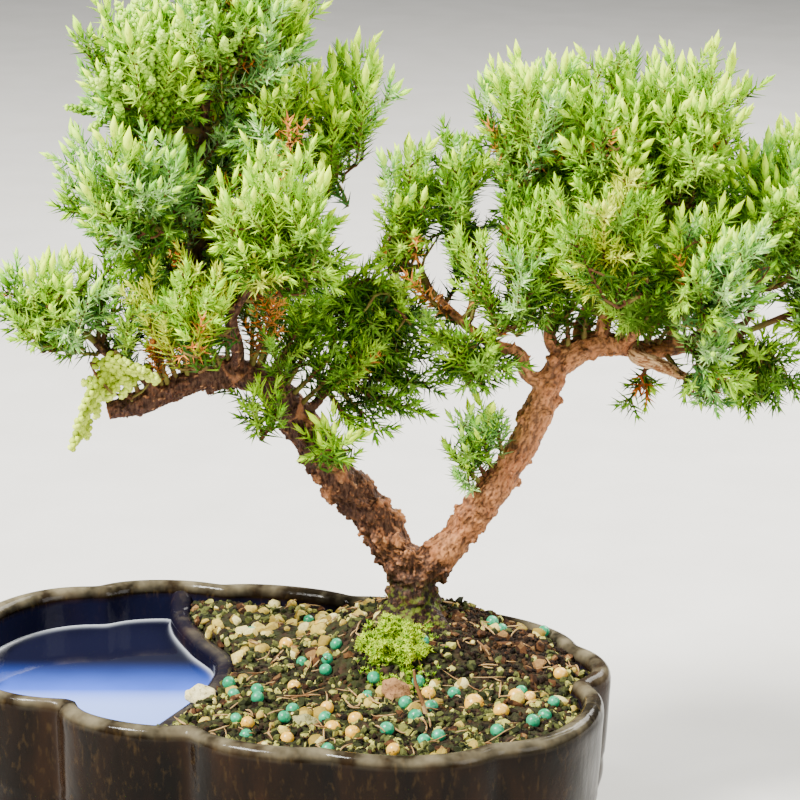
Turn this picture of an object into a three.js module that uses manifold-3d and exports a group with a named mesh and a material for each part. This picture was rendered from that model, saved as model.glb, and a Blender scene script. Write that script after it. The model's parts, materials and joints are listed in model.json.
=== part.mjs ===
// A small juniper grown as a bonsai, in a glazed land-and-water pot.
// Millimetres, +Z up. The origin is the centre of the pot's flat underside, +X runs along the
// pot's long side and +Y points away from its front.

import * as THREE from 'three';
import { mergeVertices } from 'three/addons/utils/BufferGeometryUtils.js';
import Module from 'manifold-3d';

const wasm = await Module();
wasm.setup();

// Pot: a rounded oval whose wall is pinched in at its notches
const POT_HALF_LENGTH = 105;
const POT_HALF_WIDTH = 67;
const POT_TAPER = 0.04;
const POT_SQUARENESS = 2.5;
const POT_HEIGHT = 76;
const POT_WALL = 6.5;
const POT_FLOOR = 9;
const POT_SIDES = 54;
const OPEN_TOP = 10;
const NOTCH_REACH = 8;
const NOTCH_ROUNDING = 2.5;
const NOTCH_AT_FOOT = 0.45;
// Each notch is its direction in degrees and its depth in millimetres
const NOTCHES = [
  [9, 8], [28, 4], [60, 3.5], [88, 3.5], [126, 4], [152, 5],
  [195, 6], [229, 9], [268, 6.5], [303, 3.5], [334, 4.5],
];
// The outer wall, as how far it stands in from the rim and how high
const WALL_PROFILE = [
  [21, 0], [20.4, 3.2], [17, 6], [10, 15], [5, 30], [1.8, 48], [0.3, 66],
  [0, 73.2], [1, 75.3], [3.2, POT_HEIGHT], [5.4, 75.2], [POT_WALL, 72.8],
];
// The inner wall follows the outer one between these heights, with rounded corners at the floor
const INNER_WALL_RISE = 2;
const INNER_WALL_TOP = 70;
const FLOOR_ROUNDING = 12;

// Basin at the left, behind a divider that bulges towards the soil
const DIVIDER_THICKNESS = 7;
const DIVIDER_TOP = 69;
const BASIN_FLOOR = 22;
const WATER_LEVEL = 63;
const DIVIDER_STEPS = 24;
const DIVIDER_ROUTE = [[-60, 82], [-52, 48], [-36, 27], [-21, 12], [-15, -12], [-16, -36], [-22, -80]];
const BEYOND_POT = 160;

// Soil: fills its side of the pot and rises to a mound under the trunk
const SOIL_EDGE = 71.5;
const SOIL_AT_TRUNK = 82;
const SOIL_SHEET = [230, 160];
const SOIL_CELLS = [15, 11];
const BROAD_BUMPS = { height: 0.9, across: 0.23, along: 0.29, phase: 1.1 };
const FINE_BUMPS = { height: 0.5, across: 0.61, along: 0.47 };
const MOUND_FLAT = 17;
const MOUND_FOOT = 40;
const HEAP_PLACE = [64, 36];
const HEAP_HEIGHT = 8;
const HEAP_REACH = 17;
const SEAT_GAP = 0.3;
const CAVITY_GAP = 0.4;

// Moss and the larger stones that lie on the soil: place, half sizes and turn
const MOSS = { place: [35, 11], half: [10, 9, 8], sink: 1.5 };
const STONES = [
  { name: 'stone_brown', place: [42, -7], half: [5.5, 5, 4.5], sink: 0.5, color: 0xa8714f },
  { name: 'stone_grey', place: [23, -33], half: [5.5, 4.5, 3.6], sink: 0.6, color: 0x8c8a5c },
  { name: 'stone_cream', place: [-14, -23], half: [6, 4, 3.4], sink: 0.2, color: 0xd9cf9a },
];
const LUMP_RELIEF = 0.12;
const LUMP_WAVES = [4, 3, 2];

// The tree stands on the mound, turned so that its fork faces the front left
const TREE_PLACE = [33, 32.5];
const TREE_TURN = 20;

// Limbs in the tree's own plan: across, behind, above the soil. Each has its radius at both ends.
const BARK_SIDES = 7;
const TRUNK_SIDES = 12;
const BARK_STEP = 9;
const BARK_RELIEF = 0.05;
const BARK_RIDGES = 3;
const RIDGE_TWIST = 11;
const ROOT_FLARE = 0.4;
const ROOT_FLARE_HEIGHT = 3.5;
const ROOT_LOBES = 4;
const GROUND_BLOCK = [80, 80, 20];
const TRUNK = {
  name: 'trunk', radii: [7.8, 6.6], points: [[0, 0, 0], [0, 0, 7], [1, 0, 15.5]],
};
const FORK_STUBS = [
  { name: 'fork_left', radii: [6, 5.6], points: [[1, 0, 13], [-4.2, 0, 20.9]] },
  { name: 'fork_right', radii: [6, 5.4], points: [[1, 0, 13], [8, 0, 20]] },
];
const LIMBS = [
  {
    name: 'left_stem', from: ['fork_left', 1], radii: [5.6, 5.2],
    points: [[-11.4, -1, 31.9], [-20.5, -2, 43.4], [-31, -2, 57.6], [-37.5, -1, 68], [-43, 0, 74]],
  },
  {
    name: 'left_limb', from: ['left_stem', 1], radii: [5.2, 3.2],
    points: [[-56.5, 0, 78.5], [-66.9, -2, 75.5], [-78.9, -4, 71.4], [-91.5, -6, 67.8]],
  },
  {
    name: 'left_leader', from: ['left_limb', 0.4], radii: [3.3, 1.3],
    points: [[-66.8, 2, 97.1], [-64.9, 3, 121.4], [-62.9, 2, 142.8], [-60, 0, 163]],
  },
  {
    name: 'left_front_bough', from: ['left_limb', 0.22], radii: [2.4, 1.4],
    points: [[-53, -13, 99], [-46, -19, 111]],
  },
  {
    name: 'left_low_bough', from: ['left_limb', 0.72], radii: [2.2, 1.3],
    points: [[-87, -9, 83], [-94, -12, 91]],
  },
  {
    name: 'left_side_bough', from: ['left_leader', 0.45], radii: [1.9, 1.2],
    points: [[-50, 2, 125], [-37, 3, 137]],
  },
  {
    name: 'left_back_bough', from: ['left_leader', 0.25], radii: [2, 1.2],
    points: [[-65, 14, 108], [-62, 22, 118]],
  },
  {
    name: 'left_lower_twig', from: ['left_stem', 0.82], radii: [1.7, 1.1],
    points: [[-27, 0, 73], [-21, 1, 79]],
  },
  {
    name: 'right_stem', from: ['fork_right', 1], radii: [5.4, 4.5],
    points: [[17.6, 0, 31.5], [26.6, 0, 44.3], [35.5, 0, 60.2], [40.3, 0, 72], [42.4, 0, 77.5]],
  },
  {
    name: 'right_limb', from: ['right_stem', 1], radii: [4.5, 1.7],
    points: [[49.5, 0, 85], [57, 0, 86.8], [68.4, 2, 85], [83.8, 6, 85.6],
      [98, 8, 90.5]],
  },
  {
    name: 'dead_stub', from: ['right_limb', 0.46], radii: [2.6, 1.6],
    points: [[73, -6, 82.5], [82.4, -9, 78.5]],
  },
  {
    name: 'right_inner_bough', from: ['right_stem', 0.96], radii: [2.5, 1.2],
    points: [[32, -1, 84.5], [24.6, -2, 87.3], [14.7, -2, 94.4], [7, 0, 102]],
  },
  {
    name: 'right_upright_1', from: ['right_limb', 0.1], radii: [2.2, 1.2],
    points: [[44, 2, 103], [38, 2, 129]],
  },
  {
    name: 'right_upright_2', from: ['right_limb', 0.3], radii: [2.3, 1.2],
    points: [[61.7, 0, 110], [61, 0, 124]],
  },
  {
    name: 'right_upright_3', from: ['right_limb', 0.66], radii: [2, 1.2],
    points: [[81, 3, 112], [80, 1, 127]],
  },
  {
    name: 'right_front_bough', from: ['right_limb', 0.4], radii: [2, 1.2],
    points: [[68, -13, 98], [68, -20, 108]],
  },
  {
    name: 'right_back_bough', from: ['right_limb', 0.2], radii: [2, 1.2],
    points: [[55, 16, 100], [54, 23, 110]],
  },
];

// Foliage masses: what carries each, its centre and half sizes in the tree's plan, how many shoots
// it holds and how strongly they turn upwards
const MASSES = [
  {
    name: 'left_top', on: ['left_leader', 1], shoots: 7, lift: 0.9,
    centre: [-52, 0, 180], half: [25, 25, 24],
  },
  {
    name: 'left_top_outer', on: ['left_leader', 0.86], shoots: 6, lift: 0.7,
    centre: [-77, -3, 167], half: [21, 23, 23],
  },
  {
    name: 'left_shoulder', on: ['left_side_bough', 0.55], shoots: 5, lift: 0.7,
    centre: [-41, -4, 155], half: [17, 20, 18],
  },
  {
    name: 'left_outer', on: ['left_leader', 0.56], shoots: 6, lift: 0.4,
    centre: [-81, -14, 134], half: [21, 20, 21],
  },
  {
    name: 'left_front', on: ['left_front_bough', 1], shoots: 6, lift: 0.6,
    centre: [-37, -26, 127], half: [22, 17, 23],
  },
  {
    name: 'left_inner', on: ['left_side_bough', 1], shoots: 6, lift: 0.6,
    centre: [-20, 4, 148], half: [17, 20, 23],
  },
  {
    name: 'left_low', on: ['left_low_bough', 1], shoots: 5, lift: 0.4,
    centre: [-104, -16, 101], half: [20, 17, 16],
  },
  {
    name: 'left_tip', on: ['left_limb', 0.85], shoots: 4, lift: -0.5,
    centre: [-88, -19, 77], half: [17, 13, 17],
  },
  {
    name: 'left_low_front', on: ['left_front_bough', 0.45], shoots: 4, lift: 0.3,
    centre: [-63, -26, 99], half: [17, 14, 17],
  },
  {
    name: 'left_hanging', on: ['left_lower_twig', 1], shoots: 6, lift: 0.1,
    centre: [-12, 2, 91], half: [20, 18, 24],
  },
  {
    name: 'left_middle', on: ['left_leader', 0.3], shoots: 4, lift: 0.4,
    centre: [-50, 6, 108], half: [18, 16, 17],
  },
  {
    name: 'left_back', on: ['left_back_bough', 1], shoots: 6, lift: 0.5,
    centre: [-58, 27, 145], half: [26, 19, 25],
  },
  {
    name: 'left_back_low', on: ['left_back_bough', 0.6], shoots: 5, lift: 0.35,
    centre: [-70, 30, 106], half: [24, 18, 18],
  },
  {
    name: 'right_inner', on: ['right_inner_bough', 1], shoots: 5, lift: 0.8,
    centre: [-3, 0, 126], half: [14, 17, 27],
  },
  {
    name: 'right_inner_top', on: ['right_inner_bough', 0.75], shoots: 5, lift: 0.8,
    centre: [15, 3, 131], half: [14, 19, 22],
  },
  {
    name: 'right_peak', on: ['right_upright_1', 1], shoots: 6, lift: 0.9,
    centre: [34, 2, 151], half: [16, 20, 20],
  },
  {
    name: 'right_feathers', on: ['right_upright_1', 0.45], shoots: 5, lift: 0.9,
    centre: [30, -14, 113], half: [18, 15, 24],
  },
  {
    name: 'right_crown', on: ['right_upright_2', 1], shoots: 7, lift: 0.8,
    centre: [57, 0, 147], half: [18, 23, 23],
  },
  {
    name: 'right_shoulder', on: ['right_upright_3', 1], shoots: 6, lift: 0.8,
    centre: [80, 0, 149], half: [19, 23, 23],
  },
  {
    name: 'right_outer', on: ['right_limb', 1], shoots: 6, lift: 0.6,
    centre: [108, 5, 124], half: [22, 25, 24],
  },
  {
    name: 'right_far', on: ['right_limb', 0.93], shoots: 4, lift: 0.2,
    centre: [124, 4, 100], half: [18, 17, 15],
  },
  {
    name: 'right_low_front', on: ['right_limb', 0.72], shoots: 4, lift: 0.1,
    centre: [87, -17, 85], half: [14, 13, 15],
  },
  {
    name: 'right_low_sprig', on: ['right_limb', 0.55], shoots: 2, lift: -0.7,
    centre: [70, -3, 72], half: [10, 10, 10],
  },
  {
    name: 'right_low_outer', on: ['right_limb', 0.86], shoots: 4, lift: -0.2,
    centre: [104, 6, 75], half: [15, 14, 14],
  },
  {
    name: 'right_under', on: ['right_inner_bough', 0.45], shoots: 3, lift: -0.2,
    centre: [17, -8, 82], half: [14, 12, 11],
  },
  {
    name: 'right_front', on: ['right_front_bough', 1], shoots: 6, lift: 0.6,
    centre: [57, -29, 123], half: [18, 15, 20],
  },
  {
    name: 'right_front_outer', on: ['right_front_bough', 0.6], shoots: 6, lift: 0.45,
    centre: [86, -26, 113], half: [21, 16, 19],
  },
  {
    name: 'right_back', on: ['right_back_bough', 1], shoots: 6, lift: 0.6,
    centre: [44, 31, 128], half: [23, 19, 23],
  },
  {
    name: 'right_back_outer', on: ['right_back_bough', 0.6], shoots: 6, lift: 0.5,
    centre: [82, 32, 122], half: [25, 19, 21],
  },
  {
    name: 'right_stem_sprig', on: ['right_stem', 0.36], shoots: 2, lift: 0.7,
    centre: [19, -5, 57], half: [9, 9, 10],
  },
  {
    name: 'left_stem_sprig', on: ['left_stem', 0.9], shoots: 2, lift: 0.5,
    centre: [-44, -15, 68], half: [8, 8, 10],
  },
  {
    name: 'left_stem_rosette', on: ['left_stem', 0.62], shoots: 2, lift: 0.2,
    centre: [-24, -14, 58], half: [9, 9, 9],
  },
];

// Growth rule
const SEED = 4171;
const TRIES_PER_SHOOT = 200;
const SHOOT_LENGTH = [21, 28];
const FULL_SIZE = 19;
const TIP_REACH = [0.98, 0.7];
const WHORL_PITCH = 5;
const CORE_RADIUS = 2.6;
const NEEDLE_LENGTH = 11;
const NEEDLE_SHARES = [1, 0.7, 0.45];
const NEEDLE_LEAN = 48;
const BUD_LENGTH = 7;
const STEM_RADII = [1.4, 0.9];
const TWIG_RADIUS = 1;
const TWIG_RINGS = [0, 0.5];
const FOLD_MARGIN = 0.1;
const TWIG_SAG = 5;
const CELL_MARGIN = 0.5;
const LIMB_MARGIN = 1;
const STEM_MARGIN = 2;
const SHOOT_SPACING = 7.2;
const JITTER = 0.35;
const CLOSEST_CORNERS = 0.01;
// How far a mass's stem runs on past its centre, and where along it the shoots' twigs leave
const STEM_OVERRUN = 0.15;
const TWIG_SPAN = [0.4, 0.9];
const TWIG_BEND_AT = 0.55;
const REACH_ALLOWANCE = 1.04;
// How far a joint stands off its carrier's bark, and off its end
const LEAVE_SIDE = 3;
const LEAVE_END = 2.5;
// Points are spread evenly over a sphere by these two steps
const EVEN_STEPS = [0.7548776662, 0.5698402910];
const FIRST_NEEDLE = 0.8;
const NEEDLE_TAPER = 0.3;
const STEM_SIDES = 3;
const STEM_STEPS = 4;
const TRUNK_STEPS = 5;
const LIMB_LINKS = 10;
const TRUNK_LINKS = 4;
const STEM_LINKS = 6;

const MATERIALS = {
  glaze: { color: 0x241a14, roughness: 0.16, metalness: 0 },
  soil: { color: 0x3a2f24, roughness: 0.95, metalness: 0 },
  water: { color: 0x5f78c8, roughness: 0.04, metalness: 0 },
  moss: { color: 0x8fb51c, roughness: 0.9, metalness: 0 },
  bark: { color: 0x7d4c34, roughness: 0.9, metalness: 0 },
  deadwood: { color: 0xc69a6a, roughness: 0.85, metalness: 0 },
  foliage: { color: 0x7fa860, roughness: 0.6, metalness: 0 },
};

// Small mathematics
const radians = THREE.MathUtils.degToRad;
const vector = (values) => new THREE.Vector3(...values);

function seededRandom(seed) {
  let state = seed >>> 0;
  return () => {
    state = (state + 0x6d2b79f5) >>> 0;
    let mixed = Math.imul(state ^ (state >>> 15), state | 1);
    mixed ^= mixed + Math.imul(mixed ^ (mixed >>> 7), mixed | 61);
    return ((mixed ^ (mixed >>> 14)) >>> 0) / 4294967296;
  };
}

const fraction = (value) => value - Math.floor(value);

// Solids and meshes
function solid(geometry) {
  const bare = geometry.clone();
  bare.deleteAttribute('normal');
  bare.deleteAttribute('uv');
  const merged = mergeVertices(bare, 1e-4);
  return new wasm.Manifold(new wasm.Mesh({
    numProp: 3,
    vertProperties: new Float32Array(merged.attributes.position.array),
    triVerts: new Uint32Array(merged.index.array),
  }));
}

function geometryOf(body) {
  const mesh = body.getMesh();
  const geometry = new THREE.BufferGeometry();
  geometry.setAttribute('position', new THREE.BufferAttribute(mesh.vertProperties, mesh.numProp));
  geometry.setIndex(new THREE.BufferAttribute(mesh.triVerts, 1));
  geometry.computeVertexNormals();
  return geometry;
}

function named(name, body, finish) {
  const mesh = new THREE.Mesh(geometryOf(body), new THREE.MeshStandardMaterial(finish));
  mesh.name = name;
  return mesh;
}

// The pot's plan: the oval's radius in one direction, less what its notches take
function ovalRadius(angle) {
  const halfWidth = POT_HALF_WIDTH * (1 + POT_TAPER * Math.cos(angle));
  const across = Math.abs(Math.cos(angle) / POT_HALF_LENGTH) ** POT_SQUARENESS;
  const along = Math.abs(Math.sin(angle) / halfWidth) ** POT_SQUARENESS;
  return (across + along) ** (-1 / POT_SQUARENESS);
}

function notchDepth(angle, radius) {
  let depth = 0;
  for (const [degrees, deep] of NOTCHES) {
    const turn = Math.atan2(Math.sin(angle - radians(degrees)), Math.cos(angle - radians(degrees)));
    const away = Math.hypot(turn * radius, NOTCH_ROUNDING) - NOTCH_ROUNDING;
    depth += deep * Math.exp(-away / NOTCH_REACH);
  }
  return depth;
}

function potRadius(angle, height) {
  const radius = ovalRadius(angle);
  const strength = THREE.MathUtils.lerp(NOTCH_AT_FOOT, 1, Math.min(1, Math.max(0, height / POT_HEIGHT)));
  return radius - strength * notchDepth(angle, radius);
}

// A turned solid whose round plan is changed into the pot's lobed one. The profile gives how far
// each point stands in from the rim, or null for a point on the axis, and its height.
function lobedSolid(profile) {
  const turned = profile.map(([inset, height]) => (
    new THREE.Vector2(inset === null ? 0 : POT_HALF_LENGTH - inset, height)
  ));
  const lathe = new THREE.LatheGeometry(turned, POT_SIDES);
  const position = lathe.attributes.position;
  for (let i = 0; i < position.count; i += 1) {
    const x = position.getX(i);
    const y = -position.getZ(i);
    const height = position.getY(i);
    const turnedRadius = Math.hypot(x, y);
    const angle = Math.atan2(y, x);
    const radius = turnedRadius < 1 ? 0 : potRadius(angle, height) - (POT_HALF_LENGTH - turnedRadius);
    position.setXYZ(i, radius * Math.cos(angle), radius * Math.sin(angle), height);
  }
  return solid(lathe);
}

// The inside of the pot, drawn in by a gap for what fills it
function insideProfile(floor, gap) {
  const wall = WALL_PROFILE.filter(([, height]) => (
    height > floor + INNER_WALL_RISE && height < INNER_WALL_TOP
  ));
  return [
    [null, floor + gap],
    [POT_WALL + FLOOR_ROUNDING + gap, floor + gap],
    ...wall.map(([inset, height]) => [inset + POT_WALL + gap, height]),
    [POT_WALL + gap, POT_HEIGHT + OPEN_TOP],
    [null, POT_HEIGHT + OPEN_TOP],
  ];
}

// Everything on one side of the divider: side is -1 for the basin and 1 for the soil
function dividerSide(side, floor, top, gap) {
  const route = new THREE.CatmullRomCurve3(DIVIDER_ROUTE.map(([x, y]) => new THREE.Vector3(x, y, 0)));
  const edge = [];
  for (let i = 0; i <= DIVIDER_STEPS; i += 1) {
    const point = route.getPoint(i / DIVIDER_STEPS);
    const along = route.getTangent(i / DIVIDER_STEPS);
    const shift = side * (DIVIDER_THICKNESS / 2 + gap);
    edge.push(new THREE.Vector2(point.x - along.y * shift, point.y + along.x * shift));
  }
  const far = side * BEYOND_POT;
  const outline = [...edge, new THREE.Vector2(far, edge.at(-1).y), new THREE.Vector2(far, edge[0].y)];
  const plan = new THREE.Shape(side > 0 ? outline : outline.reverse());
  const block = new THREE.ExtrudeGeometry(plan, { depth: top - floor, bevelEnabled: false });
  block.translate(0, 0, floor);
  return solid(block);
}

// Soil surface
function bumpAt(x, y) {
  const broad = Math.sin(x * BROAD_BUMPS.across + BROAD_BUMPS.phase) * Math.cos(y * BROAD_BUMPS.along);
  const fine = Math.sin(x * FINE_BUMPS.across - y * FINE_BUMPS.along);
  return BROAD_BUMPS.height * broad + FINE_BUMPS.height * fine;
}

function soilHeight(x, y) {
  const fromTrunk = Math.hypot(x - TREE_PLACE[0], y - TREE_PLACE[1]);
  const mound = THREE.MathUtils.smoothstep(MOUND_FOOT - fromTrunk, 0, MOUND_FOOT - MOUND_FLAT);
  const fromHeap = Math.hypot(x - HEAP_PLACE[0], y - HEAP_PLACE[1]);
  const heap = HEAP_HEIGHT * Math.exp(-((fromHeap / HEAP_REACH) ** 2));
  const level = SOIL_EDGE + (bumpAt(x, y) + heap) * (1 - mound);
  return THREE.MathUtils.lerp(level, SOIL_AT_TRUNK, mound);
}

function soilBlock(bottom, rise) {
  const [across, deep] = SOIL_CELLS;
  const block = new THREE.BoxGeometry(...SOIL_SHEET, 1, across, deep, 1);
  const position = block.attributes.position;
  for (let i = 0; i < position.count; i += 1) {
    const top = position.getZ(i) > 0;
    position.setZ(i, top ? soilHeight(position.getX(i), position.getY(i)) + rise : bottom);
  }
  return solid(block);
}

function lumpOnSoil({ place, half, sink }, seed) {
  const lump = new THREE.IcosahedronGeometry(1, 1);
  const position = lump.attributes.position;
  const height = soilHeight(place[0], place[1]) - sink;
  const [first, second, third] = LUMP_WAVES;
  for (let i = 0; i < position.count; i += 1) {
    const [x, y, z] = [position.getX(i), position.getY(i), position.getZ(i)];
    const wave = Math.sin(first * x + seed) * Math.cos(second * y + third * z + seed);
    const uneven = 1 + LUMP_RELIEF * wave;
    position.setXYZ(
      i,
      place[0] + half[0] * x * uneven,
      place[1] + half[1] * y * uneven,
      height + half[2] * z * uneven,
    );
  }
  return solid(lump).subtract(soilBlock(POT_FLOOR, SEAT_GAP));
}

// Limbs: a cylinder bent along a smooth curve, with a radius that follows a rule
function smoothCurve(points) {
  return new THREE.CatmullRomCurve3(points, false, 'centripetal');
}

function bentTube(curve, radiusAt, sides, steps) {
  const cylinder = new THREE.CylinderGeometry(1, 1, 1, sides, steps, false);
  const frames = curve.computeFrenetFrames(steps, false);
  const position = cylinder.attributes.position;
  for (let i = 0; i < position.count; i += 1) {
    const along = position.getY(i) + 0.5;
    const index = Math.round(along * steps);
    const centre = curve.getPointAt(index / steps);
    const angle = Math.atan2(position.getX(i), position.getZ(i));
    const reach = Math.hypot(position.getX(i), position.getZ(i)) * radiusAt(index / steps, angle);
    centre.addScaledVector(frames.normals[index], reach * Math.cos(angle));
    centre.addScaledVector(frames.binormals[index], reach * Math.sin(angle));
    position.setXYZ(i, centre.x, centre.y, centre.z);
  }
  return solid(cylinder);
}

function barkRadius(radii, phase) {
  return (along, angle) => {
    const relief = 1 + BARK_RELIEF * Math.sin(BARK_RIDGES * angle + RIDGE_TWIST * along + phase);
    return THREE.MathUtils.lerp(radii[0], radii[1], along) * relief;
  };
}

function limbSolid(limb, phase) {
  const steps = Math.max(3, Math.round(limb.curve.getLength() / BARK_STEP));
  return bentTube(limb.curve, barkRadius(limb.radii, phase), BARK_SIDES, steps);
}

function trunkSolid() {
  const height = TRUNK.points.at(-1)[2];
  const plain = barkRadius(TRUNK.radii, 0);
  const flared = (along, angle) => {
    const spread = ROOT_FLARE * Math.exp(-(along * height) / ROOT_FLARE_HEIGHT);
    return plain(along, angle) * (1 + spread * (1 + Math.cos(ROOT_LOBES * angle) / 2));
  };
  const curve = smoothCurve(TRUNK.points.map(vector));
  let body = bentTube(curve, flared, TRUNK_SIDES, TRUNK_STEPS);
  for (const stub of FORK_STUBS) {
    body = body.add(limbSolid({ curve: smoothCurve(stub.points.map(vector)), radii: stub.radii }, 0));
  }
  const groundBlock = new THREE.BoxGeometry(...GROUND_BLOCK).translate(0, 0, -GROUND_BLOCK[2] / 2);
  return body.subtract(solid(groundBlock));
}

// Where a smaller limb or a stem leaves the limb that carries it, standing clear of its bark
function leavePoint(carrier, along, towards) {
  const tangent = carrier.curve.getTangentAt(along);
  const axis = carrier.curve.getPointAt(along);
  if (along === 1) {
    return [SEAT_GAP, LEAVE_END].map((away) => axis.clone().addScaledVector(tangent, away));
  }
  const outward = towards.clone().sub(axis);
  outward.addScaledVector(tangent, -outward.dot(tangent)).normalize();
  const radius = THREE.MathUtils.lerp(carrier.radii[0], carrier.radii[1], along);
  return [SEAT_GAP, LEAVE_SIDE].map((away) => axis.clone().addScaledVector(outward, radius + away));
}

const carriers = new Map();
for (const stub of FORK_STUBS) {
  carriers.set(stub.name, { ...stub, curve: smoothCurve(stub.points.map(vector)) });
}
const limbs = LIMBS.map((limb) => {
  const points = limb.points.map(vector);
  const [carrier, along] = limb.from;
  const curve = smoothCurve([...leavePoint(carriers.get(carrier), along, points[0]), ...points]);
  carriers.set(limb.name, { ...limb, curve });
  return carriers.get(limb.name);
});

// Each mass keeps to its own space: the points nearer to it than to any other mass, by weight
const masses = MASSES.map((mass) => {
  const centre = vector(mass.centre);
  const half = vector(mass.half);
  const carrier = carriers.get(mass.on[0]);
  const start = leavePoint(carrier, mass.on[1], centre);
  const end = centre.clone().addScaledVector(centre.clone().sub(start[1]), STEM_OVERRUN);
  const weight = (half.x + half.y + half.z) / 3;
  return { ...mass, centre, half, weight, stem: smoothCurve([...start, end]) };
});

function segmentDistance(point, from, to) {
  const line = to.clone().sub(from);
  const share = THREE.MathUtils.clamp(point.clone().sub(from).dot(line) / line.lengthSq(), 0, 1);
  return point.distanceTo(from.clone().addScaledVector(line, share));
}

function chain(curve, steps, radii) {
  const links = [];
  for (let i = 0; i < steps; i += 1) {
    links.push({
      from: curve.getPointAt(i / steps),
      to: curve.getPointAt((i + 1) / steps),
      radius: THREE.MathUtils.lerp(radii[0], radii[1], i / steps),
    });
  }
  return links;
}

const limbBodies = limbs.map(limbSolid);
const barkChains = [
  ...chain(smoothCurve(TRUNK.points.map(vector)), TRUNK_LINKS, TRUNK.radii),
  ...limbs.flatMap((limb) => chain(limb.curve, LIMB_LINKS, limb.radii)),
];
const stemChains = masses.map((mass) => chain(mass.stem, STEM_LINKS, STEM_RADII));

function staysInside(mass, point) {
  const offset = point.clone().sub(mass.centre);
  if (offset.clone().divide(mass.half).length() > REACH_ALLOWANCE) return false;
  const own = offset.lengthSq() - mass.weight ** 2;
  for (const other of masses) {
    if (other === mass) continue;
    const gap = other.centre.distanceTo(mass.centre);
    const theirs = point.distanceToSquared(other.centre) - other.weight ** 2;
    if (theirs - own < 2 * gap * CELL_MARGIN) return false;
  }
  return true;
}

function clearOfWood(mass, point) {
  for (const link of barkChains) {
    const clear = link.radius * (1 + BARK_RELIEF) + LIMB_MARGIN;
    if (segmentDistance(point, link.from, link.to) < clear) return false;
  }
  for (let i = 0; i < masses.length; i += 1) {
    if (masses[i] === mass) continue;
    for (const link of stemChains[i]) {
      if (segmentDistance(point, link.from, link.to) < STEM_MARGIN) return false;
    }
  }
  return true;
}

// Whether each ring of corners lies wholly past the ring before it, so that a twig never folds
function isUnfolded(places) {
  return places.slice(1).every((place, i) => {
    const before = places[i];
    const past = place.corners.every((corner) => (
      corner.clone().sub(before.centre).dot(before.along) > FOLD_MARGIN
    ));
    const short = before.corners.every((corner) => (
      place.centre.clone().sub(corner).dot(place.along) > FOLD_MARGIN
    ));
    return past && short;
  });
}

// A shoot on its twig: one slim three-sided core, whose every side carries a needle at each whorl.
// A needle that would leave the mass's space or touch wood is shortened or left off.
function shootPoints(mass, twig, base, direction, length, size) {
  const side = new THREE.Vector3(0, 0, 1).cross(direction);
  if (side.lengthSq() < 0.01) side.set(1, 0, 0);
  const ring = (centre, along, radius) => {
    const flat = side.clone().addScaledVector(along, -side.dot(along)).normalize();
    const other = along.clone().cross(flat);
    return [0, 1, 2].map((j) => {
      const angle = (j * 2 * Math.PI) / 3;
      return centre.clone()
        .addScaledVector(flat, radius * Math.cos(angle))
        .addScaledVector(other, radius * Math.sin(angle));
    });
  };
  const places = TWIG_RINGS.map((share) => {
    const centre = twig.getPointAt(share);
    const along = twig.getTangentAt(share);
    return { centre, along, corners: ring(centre, along, TWIG_RADIUS * size) };
  });
  const unfolded = isUnfolded([
    ...places,
    { centre: base, along: direction, corners: ring(base, direction, CORE_RADIUS * size) },
  ]);
  const rings = places.map((place) => place.corners);
  const bareRings = rings.length;
  const pitch = WHORL_PITCH * size;
  const budLength = BUD_LENGTH * size;
  const whorls = Math.round((length - budLength) / pitch);
  const lean = radians(NEEDLE_LEAN);
  const tips = [];
  for (let k = 0; k <= whorls; k += 1) {
    const centre = base.clone().addScaledVector(direction, k * pitch);
    rings.push(ring(centre, direction, CORE_RADIUS * size));
    if (k === whorls) break;
    const reach = NEEDLE_LENGTH * size * (k === 0 ? FIRST_NEEDLE : 1 - NEEDLE_TAPER * (k / whorls));
    const middle = centre.clone().addScaledVector(direction, pitch / 2);
    const [one, two, three] = rings.at(-1);
    tips.push([[one, two], [two, three], [three, one]].map(([left, right]) => {
      const outward = left.clone().lerp(right, 0.5).sub(centre).normalize();
      const heading = outward.multiplyScalar(Math.sin(lean)).addScaledVector(direction, Math.cos(lean));
      for (const share of NEEDLE_SHARES) {
        const tip = middle.clone().addScaledVector(heading, reach * share);
        if (staysInside(mass, tip) && clearOfWood(mass, tip)) return tip;
      }
      return null;
    }));
  }
  const bud = base.clone().addScaledVector(direction, whorls * pitch + budLength);
  return { rings, bareRings, tips, bud, unfolded };
}

function shootSolid({ rings, bareRings, tips, bud }) {
  const corners = [];
  const face = (...points) => points.forEach((point) => corners.push(point.x, point.y, point.z));
  face(rings[0][0], rings[0][2], rings[0][1]);
  for (let k = 0; k < rings.length - 1; k += 1) {
    for (let j = 0; j < 3; j += 1) {
      const next = (j + 1) % 3;
      const [low, lowNext] = [rings[k][j], rings[k][next]];
      const [high, highNext] = [rings[k + 1][j], rings[k + 1][next]];
      const tip = k < bareRings ? null : tips[k - bareRings][j];
      if (tip) {
        face(low, lowNext, tip);
        face(lowNext, highNext, tip);
        face(highNext, high, tip);
        face(high, low, tip);
      } else {
        face(low, lowNext, highNext);
        face(low, highNext, high);
      }
    }
  }
  const last = rings.at(-1);
  face(last[0], last[1], bud);
  face(last[1], last[2], bud);
  face(last[2], last[0], bud);
  const geometry = new THREE.BufferGeometry();
  geometry.setAttribute('position', new THREE.Float32BufferAttribute(corners, 3));
  return solid(geometry);
}

function twigCurve(foot, base, direction, size) {
  const middle = foot.clone().lerp(base, TWIG_BEND_AT).addScaledVector(direction, -TWIG_SAG * size);
  return smoothCurve([foot, middle, base]);
}

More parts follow.
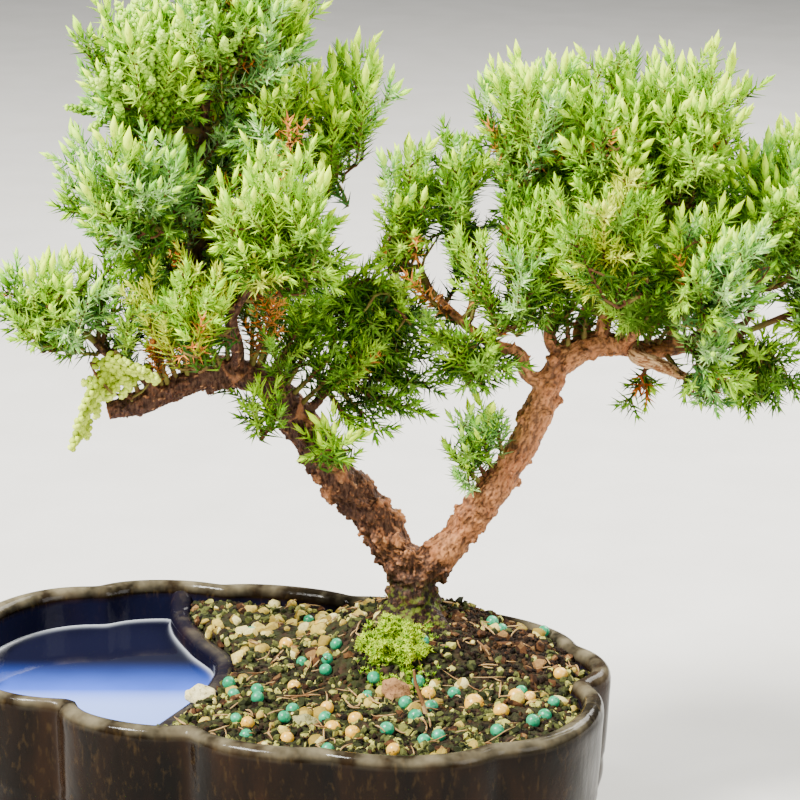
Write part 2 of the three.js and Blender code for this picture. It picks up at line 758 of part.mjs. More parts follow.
// Two shoots are too close where points along one come near the other's axis
function crowded([otherBase, otherTip], base, tip) {
  return [0, 0.5, 1].some((share) => (
    segmentDistance(base.clone().lerp(tip, share), otherBase, otherTip) < SHOOT_SPACING
    || segmentDistance(otherBase.clone().lerp(otherTip, share), base, tip) < SHOOT_SPACING
  ));
}

// The largest whole piece, without the scraps and sealed hollows that fusing can leave
function wholePiece(body) {
  return body.decompose().sort((one, two) => two.volume() - one.volume())[0];
}

// A joint is sound where fusing left no two corners too close to tell apart
function isSound(body) {
  const { vertProperties, numProp } = body.getMesh();
  for (let i = 0; i < vertProperties.length; i += numProp) {
    for (let j = 0; j < i; j += numProp) {
      const away = Math.abs(vertProperties[i] - vertProperties[j])
        + Math.abs(vertProperties[i + 1] - vertProperties[j + 1])
        + Math.abs(vertProperties[i + 2] - vertProperties[j + 2]);
      if (away < CLOSEST_CORNERS) return false;
    }
  }
  return true;
}

function touchesLimb(body) {
  return limbBodies.some((limb) => limb.intersect(body).volume() > 0);
}

function growMass(mass, index) {
  const random = seededRandom(SEED + index);
  const spread = () => (random() - 0.5) * 2 * JITTER;
  const placed = [];
  const size = Math.min(1, mass.weight / FULL_SIZE);
  const tries = mass.shoots * TRIES_PER_SHOOT;
  const stemRadius = (along) => THREE.MathUtils.lerp(...STEM_RADII, along);
  let body = bentTube(mass.stem, stemRadius, STEM_SIDES, STEM_STEPS);
  for (let k = 0; k < tries && placed.length < mass.shoots; k += 1) {
    const rise = 1 - 2 * fraction(0.5 + k * EVEN_STEPS[0]);
    const turn = 2 * Math.PI * fraction(0.5 + k * EVEN_STEPS[1]);
    const flat = Math.sqrt(1 - rise * rise);
    const outward = new THREE.Vector3(flat * Math.cos(turn), flat * Math.sin(turn), rise);
    const length = THREE.MathUtils.lerp(...SHOOT_LENGTH, random()) * size;
    const direction = outward.clone()
      .add(new THREE.Vector3(spread(), spread(), mass.lift + spread()))
      .normalize();
    const reach = THREE.MathUtils.lerp(...TIP_REACH, k / tries);
    const tip = mass.centre.clone().addScaledVector(outward.clone().multiply(mass.half), reach);
    const base = tip.clone().addScaledVector(direction, -length);
    const foot = mass.stem.getPointAt(THREE.MathUtils.lerp(...TWIG_SPAN, random()));
    const twig = twigCurve(foot, base, direction, size);
    const points = shootPoints(mass, twig, base, direction, length, size);
    if (!points.unfolded) continue;
    const corners = [...points.rings.flat(), points.bud];
    if (!corners.every((point) => staysInside(mass, point) && clearOfWood(mass, point))) continue;
    if (placed.some((other) => crowded(other, base, tip))) continue;
    const grown = wholePiece(body.add(shootSolid(points)));
    if (!isSound(grown) || touchesLimb(grown)) continue;
    placed.push([base, tip]);
    body = grown;
  }
  return body;
}

// The object
const part = new THREE.Group();

const inside = (floor, top, side, gap) => (
  lobedSolid(insideProfile(floor, gap)).intersect(dividerSide(side, floor, top, gap))
);

function potSolid() {
  const block = lobedSolid([[null, 0], ...WALL_PROFILE, [null, DIVIDER_TOP]]);
  return block
    .subtract(inside(POT_FLOOR, POT_HEIGHT + OPEN_TOP, 1, 0))
    .subtract(inside(BASIN_FLOOR, POT_HEIGHT + OPEN_TOP, -1, 0));
}

part.add(named('pot', potSolid(), MATERIALS.glaze));
part.add(named(
  'soil',
  inside(POT_FLOOR, POT_HEIGHT + OPEN_TOP, 1, CAVITY_GAP).intersect(soilBlock(POT_FLOOR, 0)),
  MATERIALS.soil,
));
part.add(named('water', inside(BASIN_FLOOR, WATER_LEVEL, -1, CAVITY_GAP), MATERIALS.water));
part.add(named('moss_tuft', lumpOnSoil(MOSS, 1), MATERIALS.moss));
STONES.forEach((stone, index) => {
  const finish = { color: stone.color, roughness: 0.9, metalness: 0 };
  part.add(named(stone.name, lumpOnSoil(stone, index + 2), finish));
});

const tree = new THREE.Group();
tree.position.set(TREE_PLACE[0], TREE_PLACE[1], SOIL_AT_TRUNK + SEAT_GAP);
tree.rotation.z = radians(TREE_TURN);
part.add(tree);

tree.add(named('trunk', trunkSolid(), MATERIALS.bark));
limbs.forEach((limb, index) => {
  const finish = limb.name === 'dead_stub' ? MATERIALS.deadwood : MATERIALS.bark;
  tree.add(named(limb.name, limbBodies[index], finish));
});
masses.forEach((mass, index) => {
  tree.add(named(mass.name, growMass(mass, index), MATERIALS.foliage));
});

export default part;
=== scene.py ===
"""A small juniper grown as a bonsai, dressed with glaze, water, soil, bark and foliage.

Sizes in this file are millimetres in the part's own frame, and meshes are made in metres.
"""

import json
import math
from collections import defaultdict, namedtuple

import bmesh
import bpy
import numpy as np
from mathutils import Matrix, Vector, kdtree, noise

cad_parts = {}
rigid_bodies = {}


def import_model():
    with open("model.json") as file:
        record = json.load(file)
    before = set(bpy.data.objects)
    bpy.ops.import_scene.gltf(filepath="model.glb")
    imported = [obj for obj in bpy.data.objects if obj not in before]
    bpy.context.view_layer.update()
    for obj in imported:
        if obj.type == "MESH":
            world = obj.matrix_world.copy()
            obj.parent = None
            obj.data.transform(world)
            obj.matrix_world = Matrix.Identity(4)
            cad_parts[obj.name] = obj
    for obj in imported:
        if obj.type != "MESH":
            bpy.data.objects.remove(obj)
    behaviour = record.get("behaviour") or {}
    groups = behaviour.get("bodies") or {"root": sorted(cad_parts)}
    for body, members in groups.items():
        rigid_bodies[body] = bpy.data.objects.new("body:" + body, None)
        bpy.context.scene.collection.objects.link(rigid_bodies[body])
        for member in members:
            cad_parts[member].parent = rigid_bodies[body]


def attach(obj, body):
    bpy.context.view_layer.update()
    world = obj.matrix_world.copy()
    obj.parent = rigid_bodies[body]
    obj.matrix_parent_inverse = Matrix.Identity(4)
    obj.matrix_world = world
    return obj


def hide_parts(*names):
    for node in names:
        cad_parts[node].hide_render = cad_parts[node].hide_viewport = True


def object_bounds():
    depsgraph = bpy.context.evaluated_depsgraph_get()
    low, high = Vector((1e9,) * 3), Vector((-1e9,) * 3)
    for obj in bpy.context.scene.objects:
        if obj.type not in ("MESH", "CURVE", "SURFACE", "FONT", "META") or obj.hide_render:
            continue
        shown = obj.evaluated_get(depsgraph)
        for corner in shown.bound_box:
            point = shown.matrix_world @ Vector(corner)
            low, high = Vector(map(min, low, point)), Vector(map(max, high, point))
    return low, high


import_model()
CAD_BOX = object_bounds()

bl_info = {
    "name": "Juniper bonsai",
    "version": (1, 0, 0),
    "blender": (4, 5, 0),
    "location": "3D View > Sidebar > Juniper",
    "description": "Dresses a packed bonsai with glaze, water, soil, bark and foliage",
    "category": "Object",
}

MM = 0.001
BODY = "root"
FLOOR_REACH = 5000
FLOOR_SIDES = 96

# The pot, as in the part's source
POT_HALF_LENGTH = 105
POT_HALF_WIDTH = 67
POT_TAPER = 0.04
POT_SQUARENESS = 2.5
POT_HEIGHT = 76
POT_WALL = 6.5
POT_FLOOR = 9
NOTCH_REACH = 8
NOTCH_ROUNDING = 2.5
NOTCH_AT_FOOT = 0.45
# Each notch is its direction in degrees and its depth
NOTCHES = [
    (9, 8), (28, 4), (60, 3.5), (88, 3.5), (126, 4), (152, 5),
    (195, 6), (229, 9), (268, 6.5), (303, 3.5), (334, 4.5),
]
# How far the outer wall stands in from the rim, and how high, from the foot to the lip
WALL_PROFILE = [
    (21, 0), (20.4, 3.2), (17, 6), (10, 15), (5, 30), (1.8, 48), (0.3, 66),
    (0, 73.2), (1, 75.3), (3.2, 76), (5.4, 75.2), (6.5, 72.8),
]
ROWS_BELOW_LIP = 8
PROFILE_STEPS = 6
INNER_HEIGHTS = [66, 48, 30, 20, 13.5]
FLOOR_CORNER = (32, POT_FLOOR)
# Where up the wall the glaze breaks, and the throwing ripples on the section's outer rows
LIP_HEIGHTS = (72.6, 75.6)
RIPPLE = 0.35
RIPPLE_ROWS = 40
DIVIDER_THICKNESS = 7
# The least wall outside the divider's foot
DIVIDER_COVER = 3
DIVIDER_TOP = 69
DIVIDER_ROUNDING = 2.6
# How far the divider sweeps up to the wall at its ends
DIVIDER_SWEEP = 4.5
DIVIDER_ROUTE = [
    (-60, 82), (-52, 48), (-36, 27), (-21, 12), (-15, -12), (-16, -36), (-22, -80),
]
WATER_LEVEL = 63
WATER_DEPTH = 9
# How high and how wide the water's edge is drawn up
MENISCUS = 0.9

# Soil and what lies on it, as in the part's source
SOIL_EDGE = 71.5
SOIL_UNDERSIDE = 60
SOIL_AT_TRUNK = 82
MOUND_FLAT = 17
MOUND_FOOT = 40
HEAP_PLACE = (64, 36)
HEAP_HEIGHT = 8
HEAP_REACH = 17
SOIL_CENTRE = (30, 0)
BASIN_CENTRE = (-60, 0)
MOSS_PLACE = (35, 11)
MOSS_HALF = (10, 9, 8)
MOSS_SINK = 1.5
MOSS_STARS = 2400
MOSS_OUTLIERS = 900
EDGE_GAP = 0.15
WATER_SPOKES = 220
SOIL_SPOKES = 300
SOIL_RINGS = 92
STRAWS = 230
STRAW_AREA = ((-18, -56), (92, 60))
LITTER_SEED = 20
UPRIGHT_TWIG = (55, -16)
# Each stone: its place, half sizes, how deep it sinks, its two colours and its grains' colour
STONES = {
    "stone_brown": ((42, -7), (5.2, 4.6, 5.6), -2, (134, 94, 60), (164, 122, 80), (84, 54, 36)),
    "stone_grey": ((23, -33), (5.5, 4.5, 3.6), 0.6, (118, 116, 74), (150, 146, 98), (70, 68, 44)),
    "stone_cream": ((-14, -23), (6, 4, 3.4), 0.2, (206, 190, 128), (222, 212, 160), (120, 110, 62)),
}

# The tree's place on the mound and its turn about the upright
TREE_PLACE = (33, 32.5, 82.3)
TREE_TURN = 20
# The trunk and its fork: radii at both ends, and points across, behind and above
TRUNK = {
    "trunk": ((7.8, 6.6), [(0, 0, 0), (0, 0, 7), (1, 0, 15.5)]),
    "fork_left": ((6, 5.6), [(1, 0, 13), (-4.2, 0, 20.9)]),
    "fork_right": ((6, 5.4), [(1, 0, 13), (8, 0, 20)]),
}
# Each limb: what carries it and where along it, radii at both ends, and points
LIMBS = {
    "left_stem": ("fork_left", 1, (5.6, 5.2), [
        (-11.4, -1, 31.9), (-20.5, -2, 43.4), (-31, -2, 57.6), (-37.5, -1, 68), (-43, 0, 74),
    ]),
    "left_limb": ("left_stem", 1, (5.2, 3.2), [
        (-56.5, 0, 78.5), (-66.9, -2, 75.5), (-78.9, -4, 71.4), (-91.5, -6, 67.8),
    ]),
    "left_leader": ("left_limb", 0.4, (3.3, 1.3), [
        (-66.8, 2, 97.1), (-64.9, 3, 121.4), (-62.9, 2, 142.8), (-60, 0, 163),
    ]),
    "left_front_bough": ("left_limb", 0.22, (2.4, 1.4), [(-53, -13, 99), (-46, -19, 111)]),
    "left_low_bough": ("left_limb", 0.72, (2.2, 1.3), [(-87, -9, 83), (-94, -12, 91)]),
    "left_side_bough": ("left_leader", 0.45, (1.9, 1.2), [(-50, 2, 125), (-37, 3, 137)]),
    "left_back_bough": ("left_leader", 0.25, (2, 1.2), [(-65, 14, 108), (-62, 22, 118)]),
    "left_lower_twig": ("left_stem", 0.82, (1.7, 1.1), [(-27, 0, 73), (-21, 1, 79)]),
    "right_stem": ("fork_right", 1, (5.4, 4.5), [
        (17.6, 0, 31.5), (26.6, 0, 44.3), (35.5, 0, 60.2), (40.3, 0, 72), (42.4, 0, 77.5),
    ]),
    "right_limb": ("right_stem", 1, (4.5, 1.7), [
        (49.5, 0, 85), (57, 0, 86.8), (68.4, 2, 85), (83.8, 6, 85.6), (98, 8, 90.5),
    ]),
    "dead_stub": ("right_limb", 0.46, (2.6, 1.6), [(73, -6, 82.5), (82.4, -9, 78.5)]),
    "right_inner_bough": ("right_stem", 0.96, (2.5, 1.2), [
        (32, -1, 84.5), (24.6, -2, 87.3), (14.7, -2, 94.4), (7, 0, 102),
    ]),
    "right_upright_1": ("right_limb", 0.1, (2.2, 1.2), [(44, 2, 103), (38, 2, 129)]),
    "right_upright_2": ("right_limb", 0.3, (2.3, 1.2), [(61.7, 0, 110), (61, 0, 124)]),
    "right_upright_3": ("right_limb", 0.66, (2, 1.2), [(81, 3, 112), (80, 1, 127)]),
    "right_front_bough": ("right_limb", 0.4, (2, 1.2), [(68, -13, 98), (68, -20, 108)]),
    "right_back_bough": ("right_limb", 0.2, (2, 1.2), [(55, 16, 100), (54, 23, 110)]),
}
LIVING_LIMBS = [name for name in LIMBS if name != "dead_stub"]

# Foliage masses: name, carrier and place on it, shoots, lift, centre, half sizes and kind of spray
MASSES = [
    ("left_top", ("left_leader", 1), 7, 0.9, (-52, 0, 180), (25, 25, 24), "frosted"),
    ("left_top_outer", ("left_leader", 0.86), 6, 0.7, (-77, -3, 167), (21, 23, 23), "frosted"),
    ("left_shoulder", ("left_side_bough", 0.55), 5, 0.7, (-41, -4, 155), (17, 20, 18), "mixed"),
    ("left_outer", ("left_leader", 0.56), 6, 0.4, (-81, -14, 134), (21, 20, 21), "blue"),
    ("left_front", ("left_front_bough", 1), 6, 0.6, (-37, -26, 127), (22, 17, 23), "lime"),
    ("left_inner", ("left_side_bough", 1), 6, 0.6, (-20, 4, 148), (17, 20, 23), "mixed"),
    ("left_low", ("left_low_bough", 1), 5, 0.4, (-104, -16, 101), (20, 17, 16), "mixed"),
    ("left_tip", ("left_limb", 0.85), 4, -0.5, (-88, -19, 77), (17, 13, 17), "corded"),
    ("left_low_front", ("left_front_bough", 0.45), 4, 0.3, (-63, -26, 99), (17, 14, 17), "olive"),
    ("left_hanging", ("left_lower_twig", 1), 6, -0.25, (-12, 2, 91), (20, 18, 24), "deep"),
    ("left_middle", ("left_leader", 0.3), 4, 0.4, (-50, 6, 108), (18, 16, 17), "olive"),
    ("left_back", ("left_back_bough", 1), 6, 0.5, (-58, 27, 145), (26, 19, 25), "mixed"),
    ("left_back_low", ("left_back_bough", 0.6), 5, 0.35, (-70, 30, 106), (24, 18, 18), "deep"),
    ("right_inner", ("right_inner_bough", 1), 5, 0.8, (-3, 0, 126), (14, 17, 27), "mixed"),
    ("right_inner_top", ("right_inner_bough", 0.75), 5, 0.8, (15, 3, 131), (14, 19, 22), "deep"),
    ("right_peak", ("right_upright_1", 1), 6, 0.9, (34, 2, 151), (16, 20, 20), "mixed"),
    ("right_feathers", ("right_upright_1", 0.45), 5, 0.9, (30, -14, 113), (18, 15, 24), "deep"),
    ("right_crown", ("right_upright_2", 1), 7, 0.8, (57, 0, 147), (18, 23, 23), "lime"),
    ("right_shoulder", ("right_upright_3", 1), 6, 0.8, (80, 0, 149), (19, 23, 23), "lime"),
    ("right_outer", ("right_limb", 1), 6, 0.6, (108, 5, 124), (22, 25, 24), "mixed"),
    ("right_far", ("right_limb", 0.93), 4, 0.2, (124, 4, 100), (18, 17, 15), "deep"),
    ("right_low_front", ("right_limb", 0.72), 4, 0.1, (87, -17, 85), (14, 13, 15), "blue"),
    ("right_low_sprig", ("right_limb", 0.55), 2, -0.7, (70, -3, 72), (10, 10, 10), "deep"),
    ("right_low_outer", ("right_limb", 0.86), 4, -0.2, (104, 6, 75), (15, 14, 14), "deep"),
    ("right_under", ("right_inner_bough", 0.45), 3, -0.2, (17, -8, 82), (14, 12, 11), "deep"),
    ("right_front", ("right_front_bough", 1), 6, 0.6, (57, -29, 123), (18, 15, 20), "olive"),
    ("right_front_outer", ("right_front_bough", 0.6), 6, 0.45, (86, -26, 113), (21, 16, 19), "blue"),
    ("right_back", ("right_back_bough", 1), 6, 0.6, (44, 31, 128), (23, 19, 23), "mixed"),
    ("right_back_outer", ("right_back_bough", 0.6), 6, 0.5, (82, 32, 122), (25, 19, 21), "mixed"),
    ("right_stem_sprig", ("right_stem", 0.36), 2, 0.7, (19, -5, 57), (9, 9, 10), "blue"),
    ("left_stem_sprig", ("left_stem", 0.9), 2, 0.5, (-44, -15, 68), (8, 8, 10), "deep"),
    ("left_stem_rosette", ("left_stem", 0.62), 2, 0.2, (-24, -14, 58), (9, 9, 9), "lime"),
]

# Which needle colours the sprays of each kind of mass take, as shares
MIXES = {
    "lime": {"fresh": 0.78, "green": 0.22},
    "mixed": {"fresh": 0.46, "green": 0.34, "blue": 0.2},
    "olive": {"green": 0.42, "yellow": 0.28, "fresh": 0.3},
    "blue": {"blue": 0.54, "fresh": 0.26, "green": 0.2},
    "frosted": {"fresh": 0.36, "blunt": 0.18, "blue": 0.24, "green": 0.22},
    # The deep mix, for masses low down or inside the crown, is mostly the darker green: older foliage and
    # painted shade
    "deep": {"green": 0.72, "fresh": 0.2, "blue": 0.08},
    "corded": {"corded": 1},
}
# How far the buds of a mass of this kind grow, against the others
BUD_GROWTH = {"olive": 0.74, "deep": 0.7}
# Sprays this deep in a mass may be dry, and this share of them is
DRY_DEPTH = 0.82
DRY_SHARE = 0.16
# Each needle colour: low on the spray, halfway, at its tip, and the pale face turned to the twig; the first
# three also carry painted shade deep inside and painted light on top
NEEDLE_COLOURS = {
    "fresh": [(56, 92, 8), (114, 162, 12), (182, 228, 20), (170, 206, 64)],
    "green": [(28, 62, 6), (68, 114, 8), (124, 174, 18), (116, 156, 48)],
    "blue": [(62, 106, 44), (106, 162, 72), (160, 214, 98), (190, 224, 146)],
    "blunt": [(96, 138, 32), (144, 188, 52), (192, 230, 78), (174, 206, 92)],
    "yellow": [(124, 134, 10), (176, 188, 20), (218, 230, 42), (200, 212, 76)],
    "dry": [(140, 64, 8), (200, 104, 22), (226, 144, 48), (208, 134, 60)],
    "corded": [(156, 178, 34), (202, 222, 64), (228, 246, 96), (208, 224, 88)],
}
# Buds low down or deep inside, in painted shade, and buds in the light, in painted light
BUD_COLOURS = {
    "fresh": [(160, 214, 14), (220, 254, 24)],
    "green": [(108, 168, 8), (188, 240, 20)],
    "blue": [(126, 190, 60), (198, 246, 60)],
    "blunt": [(164, 208, 72), (208, 246, 80)],
    "yellow": [(196, 212, 40), (236, 248, 48)],
    "corded": [(206, 228, 76), (234, 250, 104)],
}
# Needle length, width, lean from the twig and whorl spacing, against the common ones
HABITS = {
    "fresh": (1, 1, 0.95, 1),
    "green": (1.08, 0.95, 1.05, 1),
    "blue": (0.9, 1.05, 0.92, 0.95),
    "blunt": (0.5, 0.9, 0.72, 0.85),
    "yellow": (0.92, 1, 0.92, 1),
    "dry": (0.9, 0.8, 1.25, 1.3),
    "corded": (0.6, 1.1, 0.5, 0.84),
}
SCALE_KINDS = ("blunt", "corded")
BUD_SIZES = {"fresh": 1, "green": 0.84, "blue": 0.88, "blunt": 0.5, "yellow": 0.86, "corded": 0.42}

# Limbs that carry sprays of their own, from and to which share of their length, and their kind
BRUSHED_LIMBS = [
    ("left_stem", 0.84, 1, "deep"), ("left_limb", 0.02, 0.2, "deep"),
    ("left_leader", 0.14, 0.96, "mixed"), ("left_front_bough", 0.3, 1, "olive"),
    ("left_low_bough", 0.3, 1, "mixed"), ("left_side_bough", 0.2, 1, "deep"),
    ("left_back_bough", 0.3, 1, "deep"), ("left_lower_twig", 0.35, 1, "deep"),
    ("left_limb", 0.2, 0.82, "olive"), ("right_inner_bough", 0.3, 1, "deep"),
    ("right_upright_1", 0.06, 1, "deep"), ("right_upright_2", 0.06, 1, "olive"),
    ("right_upright_3", 0.06, 1, "deep"), ("right_front_bough", 0.25, 1, "olive"),
    ("right_back_bough", 0.1, 1, "deep"), ("right_limb", 0.06, 0.6, "olive"),
    ("right_limb", 0.1, 0.6, "deep"), ("right_limb", 0.62, 1, "mixed"),
]
# Long fronds: the limb that carries each, the place on it, where the frond ends, and its kind
FRONDS = [
    ("left_lower_twig", [
        (0.95, (10, -4, 72), "green"), (0.8, (3, -8, 64), "green"), (0.7, (-8, -6, 58), "green"),
        (0.5, (-16, -7, 60), "fresh"), (0.9, (6, 8, 80), "green"), (0.6, (-4, 6, 64), "green"),
        (0.35, (-19, -10, 80), "green"),
    ]),
    ("left_stem", [
        (0.84, (-20, -9, 84), "green"), (0.93, (-26, -8, 97), "green"), (0.97, (-33, -9, 103), "fresh"),
        (0.9, (-18, -11, 92), "green"),
    ]),
    ("left_lower_twig", [(0.2, (-12, -12, 88), "fresh")]),
    ("left_limb", [(0.08, (-38, 6, 104), "green")]),
    ("right_inner_bough", [(0.3, (12, -8, 79), "green")]),
    ("left_low_bough", [
        (0.9, (-84, -10, 112), "fresh"), (0.7, (-77, -12, 112), "blue"), (0.95, (-90, -6, 118), "fresh"),
        (0.5, (-74, -8, 106), "green"),
    ]),
    ("left_limb", [
        (0.66, (-78, -12, 98), "fresh"), (0.8, (-86, -14, 92), "blue"), (0.04, (-30, -12, 100), "green"),
        (0.1, (-37, -8, 110), "blue"),
    ]),
    ("left_stem", [(0.96, (-26, 4, 104), "green")]),
    ("left_limb", [(0.14, (-41, -11, 101), "dry"), (0.02, (-22, 0, 101), "fresh")]),
    ("left_stem", [(0.94, (-30, 3, 94), "green")]),
    ("right_stem", [
        (0.42, (20, -8, 63), "blue"), (0.37, (13, -10, 47), "blue"), (0.38, (11, -5, 54), "fresh"),
        (0.4, (17, -6, 56), "green"), (0.5, (25, -9, 65), "blue"),
    ]),
    ("left_limb", [(0.12, (-47, -9, 112), "green"), (0.26, (-55, -12, 106), "green")]),
    ("left_leader", [(0.1, (-53, -10, 112), "blue")]),
    ("left_limb", [
        (0.5, (-70, -12, 100), "green"), (0.62, (-76, -13, 90), "dry"), (0.56, (-80, -10, 108), "green"),
    ]),
    ("right_front_bough", [
        (0.4, (60, -32, 112), "green"), (0.2, (70, -30, 106), "green"), (0.55, (54, -30, 106), "fresh"),
        (0.1, (76, -24, 102), "green"), (0.7, (74, -28, 120), "fresh"),
    ]),
    ("right_limb", [
        (0.36, (64, -14, 104), "green"), (0.12, (45, -8, 108), "green"), (0.2, (52, -7, 106), "green"),
        (0.3, (61, -8, 107), "yellow"), (0.38, (67, -10, 108), "green"), (0.5, (77, -9, 106), "fresh"),
        (0.24, (50, 8, 110), "green"), (0.6, (88, -10, 70), "green"), (0.97, (116, -6, 72), "green"),
    ]),
]
LIMB_SPRAY_STEP = 3.4
LIMB_SPRAY_LENGTH = (13, 21)
GOLDEN_TURN = 2.39996

# Growth rule, as in the part's source
SEED = 4171
TRIES_PER_SHOOT = 30
SHOOT_LENGTH = (23, 34)
FULL_SIZE = 19
LIMB_MARGIN = 1
JITTER = 0.35
STEM_OVERRUN = 0.15
REACH_ALLOWANCE = 1.36
REACH_SWELL = (0.8, 1.34)
# Masses smaller than this share of a full one are sprigs, which keep within their own space
SPRIG_SIZE = 0.6
BASE_ALLOWANCE = 0.86
CELL_OVERLAP = 2.5
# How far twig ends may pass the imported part's box, so that their needles stay near it
BOX_MARGIN = (1.5, -1.5, 1.5)
SEAT_GAP = 0.3
LEAVE_SIDE = 3
LEAVE_END = 2.5
EVEN_STEPS = (0.7548776662, 0.5698402910)
# Finer shoots turn up more than the source's own
LIFT_GAIN = 1.6
# What is left of that lift on shoots that point down
LOW_LIFT = 0.3
# The photograph's view of the tree's plan: what it aims at, from how far and from how high
VIEW_AIM = (-3.8, -32.7, 79)
VIEW_DISTANCE = 862
VIEW_ELEVATION = 16
# Openings seen from there, in millimetres from the aim: across, up, radius, and how far behind
# the trunk they begin to be let grow over
OPENINGS = [
    (-12.8, 68.2, 6.5, 999), (-12.2, 56.6, 7, 999), (-11.2, 46.4, 6.5, 999),
    (23.5, 55.1, 5, 999), (29.3, 31.9, 4.5, 999), (53.7, 32.8, 2.5, 999),
    (-76, 0.5, 5.5, 8), (-82, -3.5, 5.5, 8),
    (72.5, 11.6, 7.5, -1), (80, 8.5, 7, -1), (59.5, 15.1, 6, 2), (50.8, 13.9, 6, 2),
    (-65.3, 2.9, 6, -2), (-56.6, 5.8, 6, -2), (-46.4, 8.7, 6, -2),
    (-47.6, 14.5, 5, -9), (-46.4, 20.3, 5, -11), (-43.5, 25.5, 5, -13),
]


def srgb(red, green, blue):
    """A colour as it is seen, from 0 to 255, turned into the shader's linear one."""
    values = np.array([red, green, blue]) / 255
    linear = np.where(values <= 0.04045, values / 12.92, ((values + 0.055) / 1.055) ** 2.4)
    return (*map(float, linear), 1.0)


# Small mathematics
def unit(vectors):
    """Vectors of length one."""
    return vectors / np.maximum(np.linalg.norm(vectors, axis=-1, keepdims=True), 1e-9)


def lerp(start, end, share):
    """The value that share of the way from start to end."""
    return start + (end - start) * share


def smoothstep(value, low, high):
    """A soft step from 0 at low to 1 at high."""
    share = np.clip((value - low) / (high - low), 0, 1)
    return share * share * (3 - 2 * share)


class SeededRandom:
    """The source's random numbers."""

    def __init__(self, seed):
        self.state = seed & 0xFFFFFFFF

    def __call__(self):
        self.state = (self.state + 0x6D2B79F5) & 0xFFFFFFFF
        mixed = ((self.state ^ (self.state >> 15)) * (self.state | 1)) & 0xFFFFFFFF
        mixed ^= (mixed + ((mixed ^ (mixed >> 7)) * (mixed | 61)) & 0xFFFFFFFF) & 0xFFFFFFFF
        return ((mixed ^ (mixed >> 14)) & 0xFFFFFFFF) / 4294967296


class Route:
    """A smooth curve through points, read by its length, with a radius at each end."""

    STEPS = 24

    def __init__(self, points, radii=(1, 1)):
        knots = np.array(points, float)
        ends = [2 * knots[0] - knots[1], *knots, 2 * knots[-1] - knots[-2]]
        dense = [knots[:1]]
        share = (np.arange(1, self.STEPS + 1) / self.STEPS)[:, None]
        for before, start, end, after in zip(ends, ends[1:], ends[2:], ends[3:]):
            gaps = [max(np.linalg.norm(b - a), 1e-6) ** 0.5
                    for a, b in ((before, start), (start, end), (end, after))]
            leave = (start - before) / gaps[0] - (end - before) / (gaps[0] + gaps[1])
            leave = (leave + (end - start) / gaps[1]) * gaps[1]
            arrive = (end - start) / gaps[1] - (after - start) / (gaps[1] + gaps[2])
            arrive = (arrive + (after - end) / gaps[2]) * gaps[1]
            square = -3 * start + 3 * end - 2 * leave - arrive
            cube = 2 * start - 2 * end + leave + arrive
            dense.append(start + leave * share + square * share**2 + cube * share**3)
        self.points = np.concatenate(dense)
        steps = np.linalg.norm(np.diff(self.points, axis=0), axis=1)
        self.length = float(steps.sum())
        self.shares = np.concatenate([[0], np.cumsum(steps)]) / self.length
        self.radii = radii

    def at(self, share):
        """The points at these shares of the length."""
        return np.stack([np.interp(share, self.shares, self.points[:, i]) for i in range(3)], -1)

    def heading(self, share):
        """The directions of travel at these shares of the length."""
        share = np.asarray(share, float)
        return unit(self.at(np.minimum(share + 0.01, 1)) - self.at(np.maximum(share - 0.01, 0)))

    def radius(self, share):
        """The radius at these shares of the length."""
        return lerp(self.radii[0], self.radii[1], np.asarray(share, float))


def leave_points(carrier, along, towards):
    """Where a smaller limb or a stem leaves its carrier, standing clear of the bark."""
    axis = carrier.at(along)
    heading = carrier.heading(along)
    if along == 1:
        return [axis + heading * away for away in (SEAT_GAP, LEAVE_END)]
    outward = np.array(towards, float) - axis
    outward = unit(outward - heading * (outward @ heading))
    return [axis + outward * (float(carrier.radius(along)) + away) for away in (SEAT_GAP, LEAVE_SIDE)]


def to_pot(points):
    """Points of the tree's own plan (across, behind, above) in the pot's frame."""
    turn = math.radians(TREE_TURN)
    across = [math.cos(turn), math.sin(turn), 0]
    behind = [-math.sin(turn), math.cos(turn), 0]
    return np.asarray(points, float) @ np.array([across, behind, [0, 0, 1]]) + TREE_PLACE


def to_pot_direction(vectors):
    """Directions of the tree's own plan in the pot's frame."""
    return to_pot(vectors) - TREE_PLACE


def limb_routes():
    """Every limb's route in the tree's plan, by name."""
    routes = {name: Route(points, radii) for name, (radii, points) in TRUNK.items()}
    for name, (carrier, along, radii, points) in LIMBS.items():
        routes[name] = Route([*leave_points(routes[carrier], along, points[0]), *points], radii)
    return routes


ROUTES = limb_routes()


# Meshes
def store(mesh, name, values, domain="POINT"):
    """Stores numbers, whole numbers, vectors or rotations on a mesh, one for each point or face."""
    values = np.asarray(values)
    width = 1 if values.ndim == 1 else values.shape[1]
    kind = {1: "INT" if values.dtype.kind == "i" else "FLOAT", 3: "FLOAT_VECTOR", 4: "QUATERNION"}[width]
    made = mesh.attributes.new(name, kind, domain)
    values = values.astype(np.int32 if kind == "INT" else np.float32)
    made.data.foreach_set("vector" if width == 3 else "value", values.ravel())


